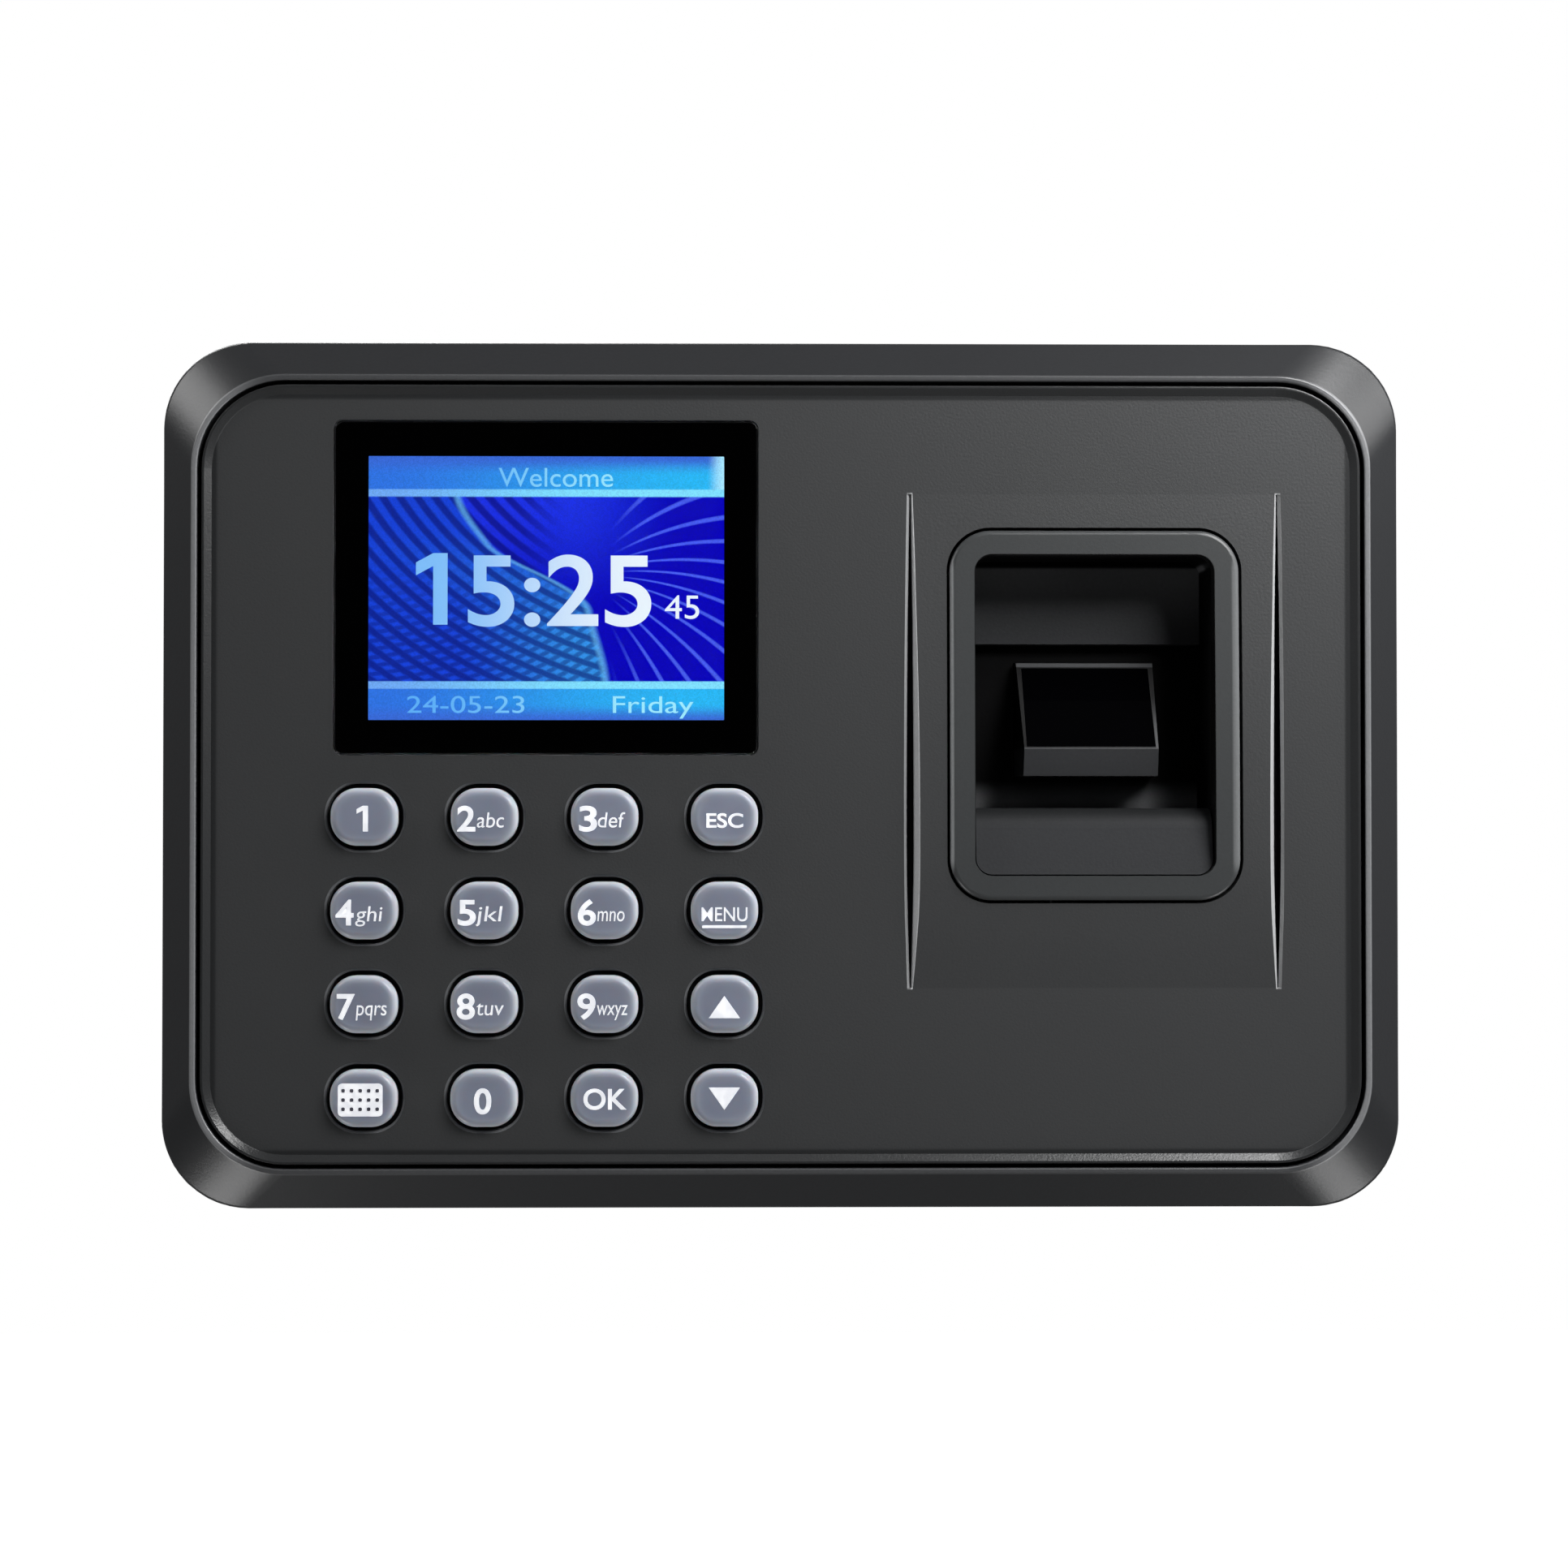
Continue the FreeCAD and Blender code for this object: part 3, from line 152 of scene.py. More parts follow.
def moulded_skin_group():
    """Fine spark-eroded grain, with faint cloudiness in the colour and the shine."""
    group, given, result = new_group(
        "moulded skin",
        [("Color", "NodeSocketColor"), ("Roughness", "NodeSocketFloat"), ("Grain Scale", "NodeSocketFloat"),
         ("Grain Depth", "NodeSocketFloat"), ("Cloudiness", "NodeSocketFloat")],
        [("Color", "NodeSocketColor"), ("Roughness", "NodeSocketFloat"), ("Normal", "NodeSocketVector")],
    )
    grain = noise(group, given.outputs["Grain Scale"], 3.0)
    cloud = noise(group, 45.0, 3.0)
    swing = calc(group, "MULTIPLY", calc(group, "SUBTRACT", cloud, 0.5), given.outputs["Cloudiness"])
    fleck = calc(group, "MULTIPLY", calc(group, "SUBTRACT", grain, 0.5), 0.25)
    value = group.nodes.new("ShaderNodeHueSaturation")
    put(group, value.inputs["Value"], calc(group, "ADD", calc(group, "ADD", 1.0, swing), fleck))
    put(group, value.inputs["Color"], given.outputs["Color"])
    bump = group.nodes.new("ShaderNodeBump")
    bump.inputs["Strength"].default_value = 1.0
    put(group, bump.inputs["Distance"], given.outputs["Grain Depth"])
    put(group, bump.inputs["Height"], grain)
    put(group, result.inputs["Color"], value.outputs["Color"])
    put(group, result.inputs["Roughness"], calc(group, "ADD", given.outputs["Roughness"],
                                                calc(group, "MULTIPLY", swing, 0.3)))
    put(group, result.inputs["Normal"], bump.outputs["Normal"])
    return group


def worn_metal_group():
    """Rolled metal: streaks along X and soft blotches."""
    group, given, result = new_group(
        "worn metal",
        [("Color", "NodeSocketColor"), ("Roughness", "NodeSocketFloat"), ("Streaks", "NodeSocketFloat")],
        [("Color", "NodeSocketColor"), ("Roughness", "NodeSocketFloat"), ("Normal", "NodeSocketVector")],
    )
    stretch = group.nodes.new("ShaderNodeMapping")
    stretch.inputs["Scale"].default_value = (60.0, 1500.0, 1500.0)
    put(group, stretch.inputs["Vector"], place(group))
    streak = group.nodes.new("ShaderNodeTexNoise")
    streak.inputs["Scale"].default_value = 1.0
    put(group, streak.inputs["Vector"], stretch.outputs[0])
    blotch = noise(group, 260.0, 4.0)
    value = group.nodes.new("ShaderNodeHueSaturation")
    put(group, value.inputs["Value"], remap(group, blotch, 0.3, 0.7, 0.85, 1.12))
    put(group, value.inputs["Color"], given.outputs["Color"])
    swing = calc(group, "SUBTRACT", streak.outputs["Fac"], 0.5)
    lift = calc(group, "MULTIPLY", swing, given.outputs["Streaks"])
    bump = group.nodes.new("ShaderNodeBump")
    bump.inputs["Distance"].default_value = 0.00003
    put(group, bump.inputs["Strength"], given.outputs["Streaks"])
    put(group, bump.inputs["Height"], streak.outputs["Fac"])
    put(group, result.inputs["Color"], value.outputs["Color"])
    put(group, result.inputs["Roughness"], calc(group, "ADD", given.outputs["Roughness"], lift))
    put(group, result.inputs["Normal"], bump.outputs["Normal"])
    return group


SKIN = moulded_skin_group()
METAL = worn_metal_group()


# ================================================================ materials
def new_material(name):
    material = bpy.data.materials.new(name)
    material.use_nodes = True
    tree = material.node_tree
    return material, tree, tree.nodes["Principled BSDF"]


def coat_with_skin(tree, shader, colour, roughness, grain_scale, grain_depth, cloudiness):
    """Runs a colour and a roughness through the moulded skin into a shader."""
    skin = tree.nodes.new("ShaderNodeGroup")
    skin.node_tree = SKIN
    values = (("Color", colour), ("Roughness", roughness), ("Grain Scale", grain_scale),
              ("Grain Depth", grain_depth), ("Cloudiness", cloudiness))
    for label, value in values:
        put(tree, skin.inputs[label], value)
    put(tree, shader.inputs["Base Color"], skin.outputs["Color"])
    put(tree, shader.inputs["Roughness"], skin.outputs["Roughness"])
    put(tree, shader.inputs["Normal"], skin.outputs["Normal"])


def plastic(name, colour, roughness, grain_scale=2600.0, grain_depth=0.00003, cloudiness=0.08):
    """Moulded plastic or rubber with a fine grain."""
    material, tree, shader = new_material(name)
    coat_with_skin(tree, shader, colour, roughness, grain_scale, grain_depth, cloudiness)
    return material


def metal(name, colour, roughness, streaks=0.2):
    material, tree, shader = new_material(name)
    worn = tree.nodes.new("ShaderNodeGroup")
    worn.node_tree = METAL
    for label, value in (("Color", colour), ("Roughness", roughness), ("Streaks", streaks)):
        worn.inputs[label].default_value = value
    put(tree, shader.inputs["Base Color"], worn.outputs["Color"])
    put(tree, shader.inputs["Roughness"], worn.outputs["Roughness"])
    put(tree, shader.inputs["Normal"], worn.outputs["Normal"])
    shader.inputs["Metallic"].default_value = 1.0
    return material


def window_material():
    """Clear polished acrylic."""
    material, tree, shader = new_material("clear window")
    shader.inputs["Base Color"].default_value = (0.97, 0.98, 1.0, 1.0)
    shader.inputs["Transmission Weight"].default_value = 1.0
    shader.inputs["IOR"].default_value = 1.49
    put(tree, shader.inputs["Roughness"], remap(tree, noise(tree, 300.0), 0.4, 0.8, 0.0, 0.02))
    return material


def prism_material():
    """Dark polished glass. It looks black because no light comes back from behind it."""
    material, tree, shader = new_material("prism glass")
    shader.inputs["Base Color"].default_value = rgb(2, 2, 3)
    shader.inputs["IOR"].default_value = 1.52
    shader.inputs["Specular IOR Level"].default_value = 0.03
    put(tree, shader.inputs["Roughness"], remap(tree, noise(tree, 400.0), 0.3, 0.8, 0.03, 0.08))
    return material


def frame_material():
    """Smooth black. The narrow front lip carries a painted highlight, strongest down its left and right
    sides.
    """
    material, tree, shader = new_material("case")
    x, y, _ = axes(tree)
    # Painted highlight: the front of the lip is painted bright, most of all near the left and right sides.
    side = remap(tree, calc(tree, "ABSOLUTE", x), 74.0, 82.0, 0.25, 1.0)
    lip = calc(tree, "MULTIPLY", remap(tree, y, LIP_Y + 0.2, LIP_Y + 0.1), side)
    tone = blend(tree, lip, rgb(40, 41, 43), rgb(128, 129, 131))
    coat_with_skin(tree, shader, tone, 0.33, 2200.0, 0.000012, 0.05)
    return material


def panel_material():
    """Satin dark grey. The edges of its openings and of its grooves carry painted highlights, and its slots,
    its outer edge and its raised rim carry painted shade.
    """
    material, tree, shader = new_material("panel")
    x, y, z = axes(tree)
    aside = calc(tree, "SUBTRACT", calc(tree, "ABSOLUTE", calc(tree, "SUBTRACT", x, SCAN_X)), SWELL_W / 2)
    along = calc(tree, "DIVIDE", calc(tree, "SUBTRACT", SWELL_TOP, z), SWELL_TOP - SWELL_BOTTOM)
    between = calc(tree, "MULTIPLY", remap(tree, along, -0.004, 0.0), remap(tree, along, 1.004, 1.0))
    near = calc(tree, "MULTIPLY", remap(tree, calc(tree, "ABSOLUTE", aside), 1.75, 1.6), between)
    below = remap(tree, y, PANEL_Y + 0.02, PANEL_Y + 0.06)
    reach = groove_half(tree, along)
    edge = calc(tree, "SUBTRACT", aside, reach)
    # Painted highlights: the slope beside each crescent groove and the swelling's leaning side wall, the wall
    # brighter.
    outer = calc(tree, "MULTIPLY", remap(tree, aside, -0.05, 0.05),
                 remap(tree, edge, GROOVE_LIP + 0.02, GROOVE_LIP - 0.04))
    lean = calc(tree, "MULTIPLY", calc(tree, "SUBTRACT", PANEL_Y + 0.5, y), SWELL_DRAFT)
    wall_at = calc(tree, "MULTIPLY", calc(tree, "ADD", reach, lean), -1.0)
    inner = calc(tree, "MULTIPLY", remap(tree, calc(tree, "SUBTRACT", aside, wall_at), -0.07, -0.03),
                 remap(tree, aside, 0.05, -0.05))
    slope = calc(tree, "MULTIPLY", calc(tree, "MAXIMUM", outer, inner), near)
    # Painted shade: the deep part of each groove is painted nearly black.
    slot = calc(tree, "MULTIPLY", remap(tree, y, PANEL_Y + 0.38, PANEL_Y + 0.46), near)
    # Painted highlight: the recessed edges of the openings are painted lighter.
    opening_highlight = calc(tree, "MULTIPLY", below, remap(tree, x, 8.0, 6.0))
    tone = blend(tree, opening_highlight, rgb(60, 61, 62), rgb(104, 105, 107))
    # Painted shade: the panel's outer edge and its raised rim are painted darker.
    far = calc(tree, "MAXIMUM", remap(tree, calc(tree, "ABSOLUTE", x), 81.2, 81.8),
               remap(tree, calc(tree, "ABSOLUTE", z), 53.8, 54.4))
    shaded_rim = calc(tree, "MAXIMUM", far, calc(tree, "MULTIPLY", remap(tree, y, PANEL_Y - 0.02, PANEL_Y - 0.1),
                                            remap(tree, calc(tree, "ABSOLUTE", x), 72.0, 74.0)))
    tone = blend(tree, shaded_rim, tone, rgb(46, 47, 48))
    tone = blend(tree, slope, tone, blend(tree, inner, rgb(150, 151, 152), rgb(196, 197, 198)))
    tone = blend(tree, slot, tone, rgb(18, 18, 19))
    shine = remap(tree, calc(tree, "MAXIMUM", slope, shaded_rim), 0.0, 1.0, 0.46, 0.28)
    coat_with_skin(tree, shader, tone, shine, 3000.0, 0.000025, 0.06)
    return material


def groove_half(tree, along):
    """Half the width of a crescent groove, in millimetres, at a share of the way down it."""
    ramp = tree.nodes.new("ShaderNodeFloatCurve")
    put(tree, ramp.inputs["Value"], along)
    curve = ramp.mapping.curves[0]
    curve.points[0].location = GROOVE_SHAPE[0]
    curve.points[1].location = GROOVE_SHAPE[-1]
    for share, width in GROOVE_SHAPE[1:-1]:
        curve.points.new(share, width)
    ramp.mapping.update()
    return calc(tree, "MULTIPLY", ramp.outputs[0], GROOVE_HALF)


def well_material():
    """The finger guide: grey on its apron and ramp. Painted shade fades it to black in the cavity, along its
    top and on the side walls, and darkens the upper end of the ramp; painted light brightens the apron
    towards its top and lifts the lower cavity to grey.
    """
    material, tree, shader = new_material("finger guide")
    x, y, z = axes(tree)
    aside = calc(tree, "ABSOLUTE", calc(tree, "SUBTRACT", x, SCAN_X))
    # Painted shade: the side walls and the strip along the top, deeper than the front, are painted black.
    wall = remap(tree, aside, WELL_W / 2 - 0.3, WELL_W / 2 - 0.1)
    roof_shade = remap(tree, z, WELL_TOP - 1.2, WELL_TOP - 0.6)
    back = calc(tree, "MULTIPLY", remap(tree, y, -30.8, -30.0), remap(tree, z, -9.0, -6.0))
    black = calc(tree, "MULTIPLY", calc(tree, "MAXIMUM", wall, roof_shade), back)
    # Painted light: the apron is painted lighter towards its top, against the shade under the ring.
    apron = blend(tree, remap(tree, z, APRON_FOOT, WELL_TOP), rgb(64, 65, 67), rgb(116, 117, 119))
    # Painted shade just under the prism block, fading to a grey that is painted light further down.
    cavity = blend(tree, remap(tree, z, -0.6, -4.2), rgb(3, 3, 4), rgb(112, 113, 115))
    # Painted shade: the upper end of the ramp is painted darker.
    ramp = blend(tree, remap(tree, z, RAMP_TOP_Z - 0.4, RAMP_TOP_Z - 3.4), rgb(32, 33, 34), rgb(57, 58, 60))
    tone = blend(tree, remap(tree, z, APRON_FOOT - 0.1, APRON_FOOT), cavity, apron)
    tone = blend(tree, remap(tree, y, -24.0, -27.0), tone, ramp)
    tone = blend(tree, black, tone, rgb(3, 3, 4))
    coat_with_skin(tree, shader, tone, remap(tree, black, 0.0, 1.0, 0.55, 0.8), 2600.0, 0.00002, 0.06)
    shader.inputs["Specular IOR Level"].default_value = 0.1
    return material


def ring_material():
    """Satin ring. Its inner wall carries black painted shade, and the outer corners of its long sides carry
    painted highlights.
    """
    material, tree, shader = new_material("ring")
    x, _, z = axes(tree)
    across = calc(tree, "SUBTRACT", x, SCAN_X)
    up = calc(tree, "ABSOLUTE", calc(tree, "SUBTRACT", z, SCAN_Z))
    aside = calc(tree, "ABSOLUTE", across)
    past_x = calc(tree, "MAXIMUM", calc(tree, "SUBTRACT", aside, WELL_W / 2 - WELL_R), 0.0)
    past_z = calc(tree, "MAXIMUM", calc(tree, "SUBTRACT", up, WELL_H / 2 - WELL_R), 0.0)
    reach = calc(tree, "SQRT", calc(tree, "ADD", calc(tree, "MULTIPLY", past_x, past_x),
                                    calc(tree, "MULTIPLY", past_z, past_z)))
    inside = calc(tree, "SUBTRACT", reach, WELL_R)
    # Painted shade: the inner wall of the opening is painted black.
    hole_shade = calc(tree, "MULTIPLY", remap(tree, inside, 0.12, 0.04), remap(tree, z, -13.6, -12.8))
    # Painted highlights down the outer edges of the long sides, the left one brighter.
    straight = remap(tree, up, RING_H / 2 - 3.0, RING_H / 2 - 6.0)
    left = remap(tree, across, -RING_W / 2 + 0.65, -RING_W / 2 + 0.3)
    right = remap(tree, across, RING_W / 2 - 1.3, RING_W / 2 - 0.8)
    tone = blend(tree, calc(tree, "MULTIPLY", left, straight), rgb(64, 66, 67), rgb(150, 152, 153))
    tone = blend(tree, calc(tree, "MULTIPLY", right, straight), tone, rgb(112, 114, 115))
    tone = blend(tree, hole_shade, tone, rgb(4, 4, 5))
    coat_with_skin(tree, shader, tone, 0.36, 3000.0, 0.000012, 0.04)
    return material


def surround_material():
    """The block round the glass: black on its slope, grey on its foot, with painted highlights along its
    upper and right edges.
    """
    material, tree, shader = new_material("prism surround")
    x, _, z = axes(tree)
    foot = remap(tree, z, BLOCK_NOSE_Z + 0.4, BLOCK_NOSE_Z)
    # Painted highlights along the upper edge and the lower right flank.
    crown_highlight = remap(tree, z, GLASS_TOP + 0.1, GLASS_TOP + 0.3)
    across = calc(tree, "SUBTRACT", x, SCAN_X)
    low_end = remap(tree, z, 12.0, 6.0)
    flank_highlight = calc(tree, "MULTIPLY", remap(tree, across, GLASS_HALF, GLASS_HALF + 0.1), low_end)
    tone = blend(tree, calc(tree, "MAXIMUM", crown_highlight, flank_highlight), rgb(5, 5, 6), rgb(78, 79, 81))
    tone = blend(tree, foot, tone, rgb(62, 63, 65))
    coat_with_skin(tree, shader, tone, 0.42, 2600.0, 0.00001, 0.04)
    shader.inputs["Specular IOR Level"].default_value = 0.25
    return material


def key_material():
    """Pale lavender silicone. The rounded rim of every key gathers light and carries a painted highlight,
    each cap is painted lighter towards its rim, and the part behind the panel carries painted shade.
    """
    material, tree, shader = new_material("key silicone")
    x, y, z = axes(tree)
    across = calc(tree, "WRAP", calc(tree, "SUBTRACT", x, KEY_X0), KEY_PITCH_X / 2, -KEY_PITCH_X / 2)
    up = calc(tree, "WRAP", calc(tree, "SUBTRACT", z, KEY_Z0), KEY_PITCH_Z / 2, -KEY_PITCH_Z / 2)
    side = calc(tree, "POWER", calc(tree, "ABSOLUTE", calc(tree, "DIVIDE", across, KEY_W / 2)), 3.0)
    end = calc(tree, "POWER", calc(tree, "ABSOLUTE", calc(tree, "DIVIDE", up, KEY_H / 2)), 3.0)
    reach = calc(tree, "ADD", side, end)
    # Painted highlight on each rim, with painted light growing towards it across the cap.
    rim = remap(tree, reach, 0.55, 1.0)
    glow = remap(tree, reach, 0.1, 0.75)
    tone = blend(tree, glow, rgb(136, 142, 160), rgb(160, 166, 180))
    tone = blend(tree, rim, tone, rgb(204, 209, 216))
    # Painted shade: the part of each key behind the panel is painted nearly black.
    tone = blend(tree, remap(tree, y, -31.4, -30.6), tone, rgb(14, 14, 16))
    cloud = remap(tree, noise(tree, 120.0), 0.3, 0.7, 0.93, 1.05)
    shade = tree.nodes.new("ShaderNodeHueSaturation")
    put(tree, shade.inputs["Value"], cloud)
    put(tree, shade.inputs["Color"], tone)
    put(tree, shader.inputs["Base Color"], shade.outputs["Color"])
    shader.inputs["Roughness"].default_value = 0.42
    shader.inputs["Subsurface Weight"].default_value = 0.25
    shader.inputs["Subsurface Scale"].default_value = 0.001
    shader.inputs["Coat Weight"].default_value = 0.25
    shader.inputs["Coat Roughness"].default_value = 0.2
    return material


def print_material():
    """White ink for the key symbols, with a faint painted glow."""
    material, tree, shader = new_material("white ink")
    tone = blend(tree, remap(tree, noise(tree, 900.0), 0.35, 0.65), rgb(226, 228, 234), rgb(246, 247, 250))
    put(tree, shader.inputs["Base Color"], tone)
    # Painted light: the ink is made to glow faintly, though it is no lamp.
    put(tree, shader.inputs["Emission Color"], tone)
    shader.inputs["Emission Strength"].default_value = 0.4
    shader.inputs["Roughness"].default_value = 0.5
    return material


def dark_ink_material():
    material, tree, shader = new_material("dark ink")
    put(tree, shader.inputs["Base Color"],
        blend(tree, remap(tree, noise(tree, 900.0), 0.35, 0.65), rgb(66, 66, 78), rgb(84, 84, 96)))
    shader.inputs["Roughness"].default_value = 0.5
    return material


def stripes(tree, across, up, centre, pitch):
    """Concentric rings about centre, as a wave from 0 to 1."""
    dx = calc(tree, "SUBTRACT", across, centre[0])
    dz = calc(tree, "SUBTRACT", up, centre[1])
    squares = calc(tree, "ADD", calc(tree, "MULTIPLY", dx, dx), calc(tree, "MULTIPLY", dz, dz))
    far = calc(tree, "SQRT", squares)
    return remap(tree, calc(tree, "SINE", calc(tree, "MULTIPLY", far, 2 * math.pi / pitch)), -0.7, 0.7)


def fan(tree, across, up, centre, count):
    """Thin rays that spread from centre, as a mask."""
    dx = calc(tree, "SUBTRACT", across, centre[0])
    dz = calc(tree, "SUBTRACT", up, centre[1])
    bend = calc(tree, "MULTIPLY", dx, 0.35)
    angle = calc(tree, "ADD", calc(tree, "ARCTAN2", dz, dx), bend)
    return remap(tree, calc(tree, "SINE", calc(tree, "MULTIPLY", angle, count)), 0.72, 1.0)


def picture_material():
    """The lit display: two cyan bars and a blue field split by an S-shaped sweep."""
    material, tree, shader = new_material("display picture")
    x, _, z = axes(tree)
    u = calc(tree, "DIVIDE", calc(tree, "SUBTRACT", x, SCREEN_X), PICTURE_W / 2)
    v = calc(tree, "DIVIDE", calc(tree, "SUBTRACT", z, SCREEN_Z), PICTURE_H / 2)
    upper = calc(tree, "MULTIPLY", remap(tree, v, 0.05, 0.75), -0.27)
    lower = calc(tree, "MULTIPLY", remap(tree, v, -0.02, -0.75), 0.11)
    cross_over = calc(tree, "MULTIPLY", remap(tree, v, 0.34, -0.16), 0.46)
    sweep = calc(tree, "ADD", calc(tree, "ADD", upper, lower), calc(tree, "SUBTRACT", cross_over, 0.24))
    off = calc(tree, "SUBTRACT", u, sweep)
    right = remap(tree, off, -0.012, 0.012)
    near = remap(tree, off, -0.85, 0.0)
    low = remap(tree, v, 0.5, -0.5)
    left_tone = blend(tree, calc(tree, "MULTIPLY", near, low), rgb(22, 66, 214), rgb(52, 148, 232))
    weave = stripes(tree, u, v, (1.25, 1.7), 0.088)
    cross = calc(tree, "MULTIPLY", stripes(tree, u, v, (-1.3, 1.2), 0.062), calc(tree, "MULTIPLY", low, 0.75))
    hatch = calc(tree, "MULTIPLY", calc(tree, "MAXIMUM", weave, cross), 0.78)
    left_tone = blend(tree, hatch, left_tone, rgb(10, 22, 122))
    high = remap(tree, v, -0.2, 0.7)
    middle = remap(tree, u, 0.75, 0.1)
    right_tone = blend(tree, calc(tree, "MULTIPLY", high, middle), rgb(4, 0, 186), rgb(26, 48, 226))
    top_weave = calc(tree, "MULTIPLY", weave, calc(tree, "MULTIPLY", remap(tree, u, 0.15, -0.2), 0.8))
    right_tone = blend(tree, top_weave, right_tone, rgb(8, 10, 128))
    rays = calc(tree, "MULTIPLY", fan(tree, u, v, (0.18, 0.1), 34.0), remap(tree, u, 0.34, 0.58))
    right_tone = blend(tree, calc(tree, "MULTIPLY", rays, 0.8), right_tone, rgb(80, 104, 246))
    field = blend(tree, right, left_tone, right_tone)
    glint = calc(tree, "MULTIPLY", remap(tree, calc(tree, "ABSOLUTE", off), 0.035, 0.0), 0.6)
    field = blend(tree, glint, field, rgb(104, 186, 244))
    level = calc(tree, "ABSOLUTE", v)
    bar = blend(tree, remap(tree, u, -1.0, 1.0), rgb(48, 116, 226), rgb(42, 186, 246))
    bar = blend(tree, remap(tree, level, 0.86, 1.0), bar, rgb(58, 106, 214))
    glint = calc(tree, "MULTIPLY", remap(tree, u, 0.9, 1.0), remap(tree, v, 0.0, 0.1))
    bar = blend(tree, glint, bar, rgb(170, 232, 255))
    edge = blend(tree, remap(tree, u, -1.0, 0.3), rgb(112, 170, 244), rgb(130, 226, 255))
    bar = blend(tree, remap(tree, level, BAR_EDGE + 0.062, BAR_EDGE + 0.05), bar, edge)
    whole = blend(tree, remap(tree, level, BAR_EDGE - 0.006, BAR_EDGE + 0.006), field, bar)
    grain = remap(tree, noise(tree, 5200.0, 0.0), 0.2, 0.8, 0.9, 1.1)
    lit = blend(tree, 1.0, whole, grain, "MULTIPLY")
    shader.inputs["Base Color"].default_value = (0.0, 0.0, 0.0, 1.0)
    shader.inputs["Roughness"].default_value = 0.3
    put(tree, shader.inputs["Emission Color"], lit)
    shader.inputs["Emission Strength"].default_value = 1.05
    return material


def clock_material(name, left, right):
    """Lit characters whose colour runs from left to right across the picture."""
    material, tree, shader = new_material(name)
    x, _, _ = axes(tree)
    tone = blend(tree, remap(tree, x, SCREEN_X - 18.0, SCREEN_X + 16.0), left, right)
    shader.inputs["Base Color"].default_value = (0.0, 0.0, 0.0, 1.0)
    put(tree, shader.inputs["Emission Color"], tone)
    shader.inputs["Emission Strength"].default_value = 1.05
    return material


def board_material():
    """Green solder mask with copper tracks just showing through."""
    material, tree, shader = new_material("circuit board")
    x, _, _ = axes(tree)
    lane = calc(tree, "ADD", x, calc(tree, "MULTIPLY", noise(tree, 60.0, 0.0), 9.0))
    track = remap(tree, calc(tree, "SINE", calc(tree, "MULTIPLY", lane, 5.2)), 0.35, 0.6)
    reach = remap(tree, noise(tree, 90.0), 0.45, 0.52)
    tone = blend(tree, calc(tree, "MULTIPLY", track, reach), rgb(10, 74, 42), rgb(26, 112, 58))
    put(tree, shader.inputs["Base Color"], tone)
    shader.inputs["Roughness"].default_value = 0.28
    return material


def label_material():
    """A silver rating label with a dark band of fine bars."""
    material, tree, shader = new_material("rating label")
    x, _, z = axes(tree)
    bars = remap(tree, noise(tree, 3.0, 0.0), 0.0, 1.0)
    turn = calc(tree, "ADD", calc(tree, "MULTIPLY", x, 8.0), calc(tree, "MULTIPLY", bars, 40.0))
    comb = calc(tree, "SINE", turn)
    inside = calc(tree, "MULTIPLY", remap(tree, x, -38.0, -37.6), remap(tree, x, -22.6, -23.0))
    tall = calc(tree, "MULTIPLY", remap(tree, z, -53.6, -53.4), remap(tree, z, -47.4, -47.6))
    mask = calc(tree, "MULTIPLY", calc(tree, "MULTIPLY", inside, tall), remap(tree, comb, -0.1, 0.1))
    put(tree, shader.inputs["Base Color"], blend(tree, mask, rgb(186, 188, 190), rgb(24, 24, 26)))
    shader.inputs["Roughness"].default_value = 0.35
    shader.inputs["Metallic"].default_value = 0.3
    return material


def zinc_material():
    """Galvanised sheet with large dull spangles."""
    material, tree, shader = new_material("galvanised sheet")
    cells = tree.nodes.new("ShaderNodeTexVoronoi")
    put(tree, cells.inputs["Vector"], place(tree))
    cells.inputs["Scale"].default_value = 180.0
    spangle = cells.outputs["Color"]
    tone = blend(tree, remap(tree, spangle, 0.2, 0.8), rgb(172, 175, 178), rgb(160, 164, 168))
    put(tree, shader.inputs["Base Color"], tone)
    put(tree, shader.inputs["Roughness"], remap(tree, spangle, 0.2, 0.8, 0.46, 0.52))
    shader.inputs["Metallic"].default_value = 1.0
    return material


def assign(material, *nodes):
    """Gives CAD nodes a material."""
    for node in nodes:
        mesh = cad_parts[node].data
        mesh.materials.clear()
        mesh.materials.append(material)


KEYS = [
    ["1", "2", "3", "esc"],
    ["4", "5", "6", "menu"],
    ["7", "8", "9", "up"],
    ["input", "0", "ok", "down"],
]


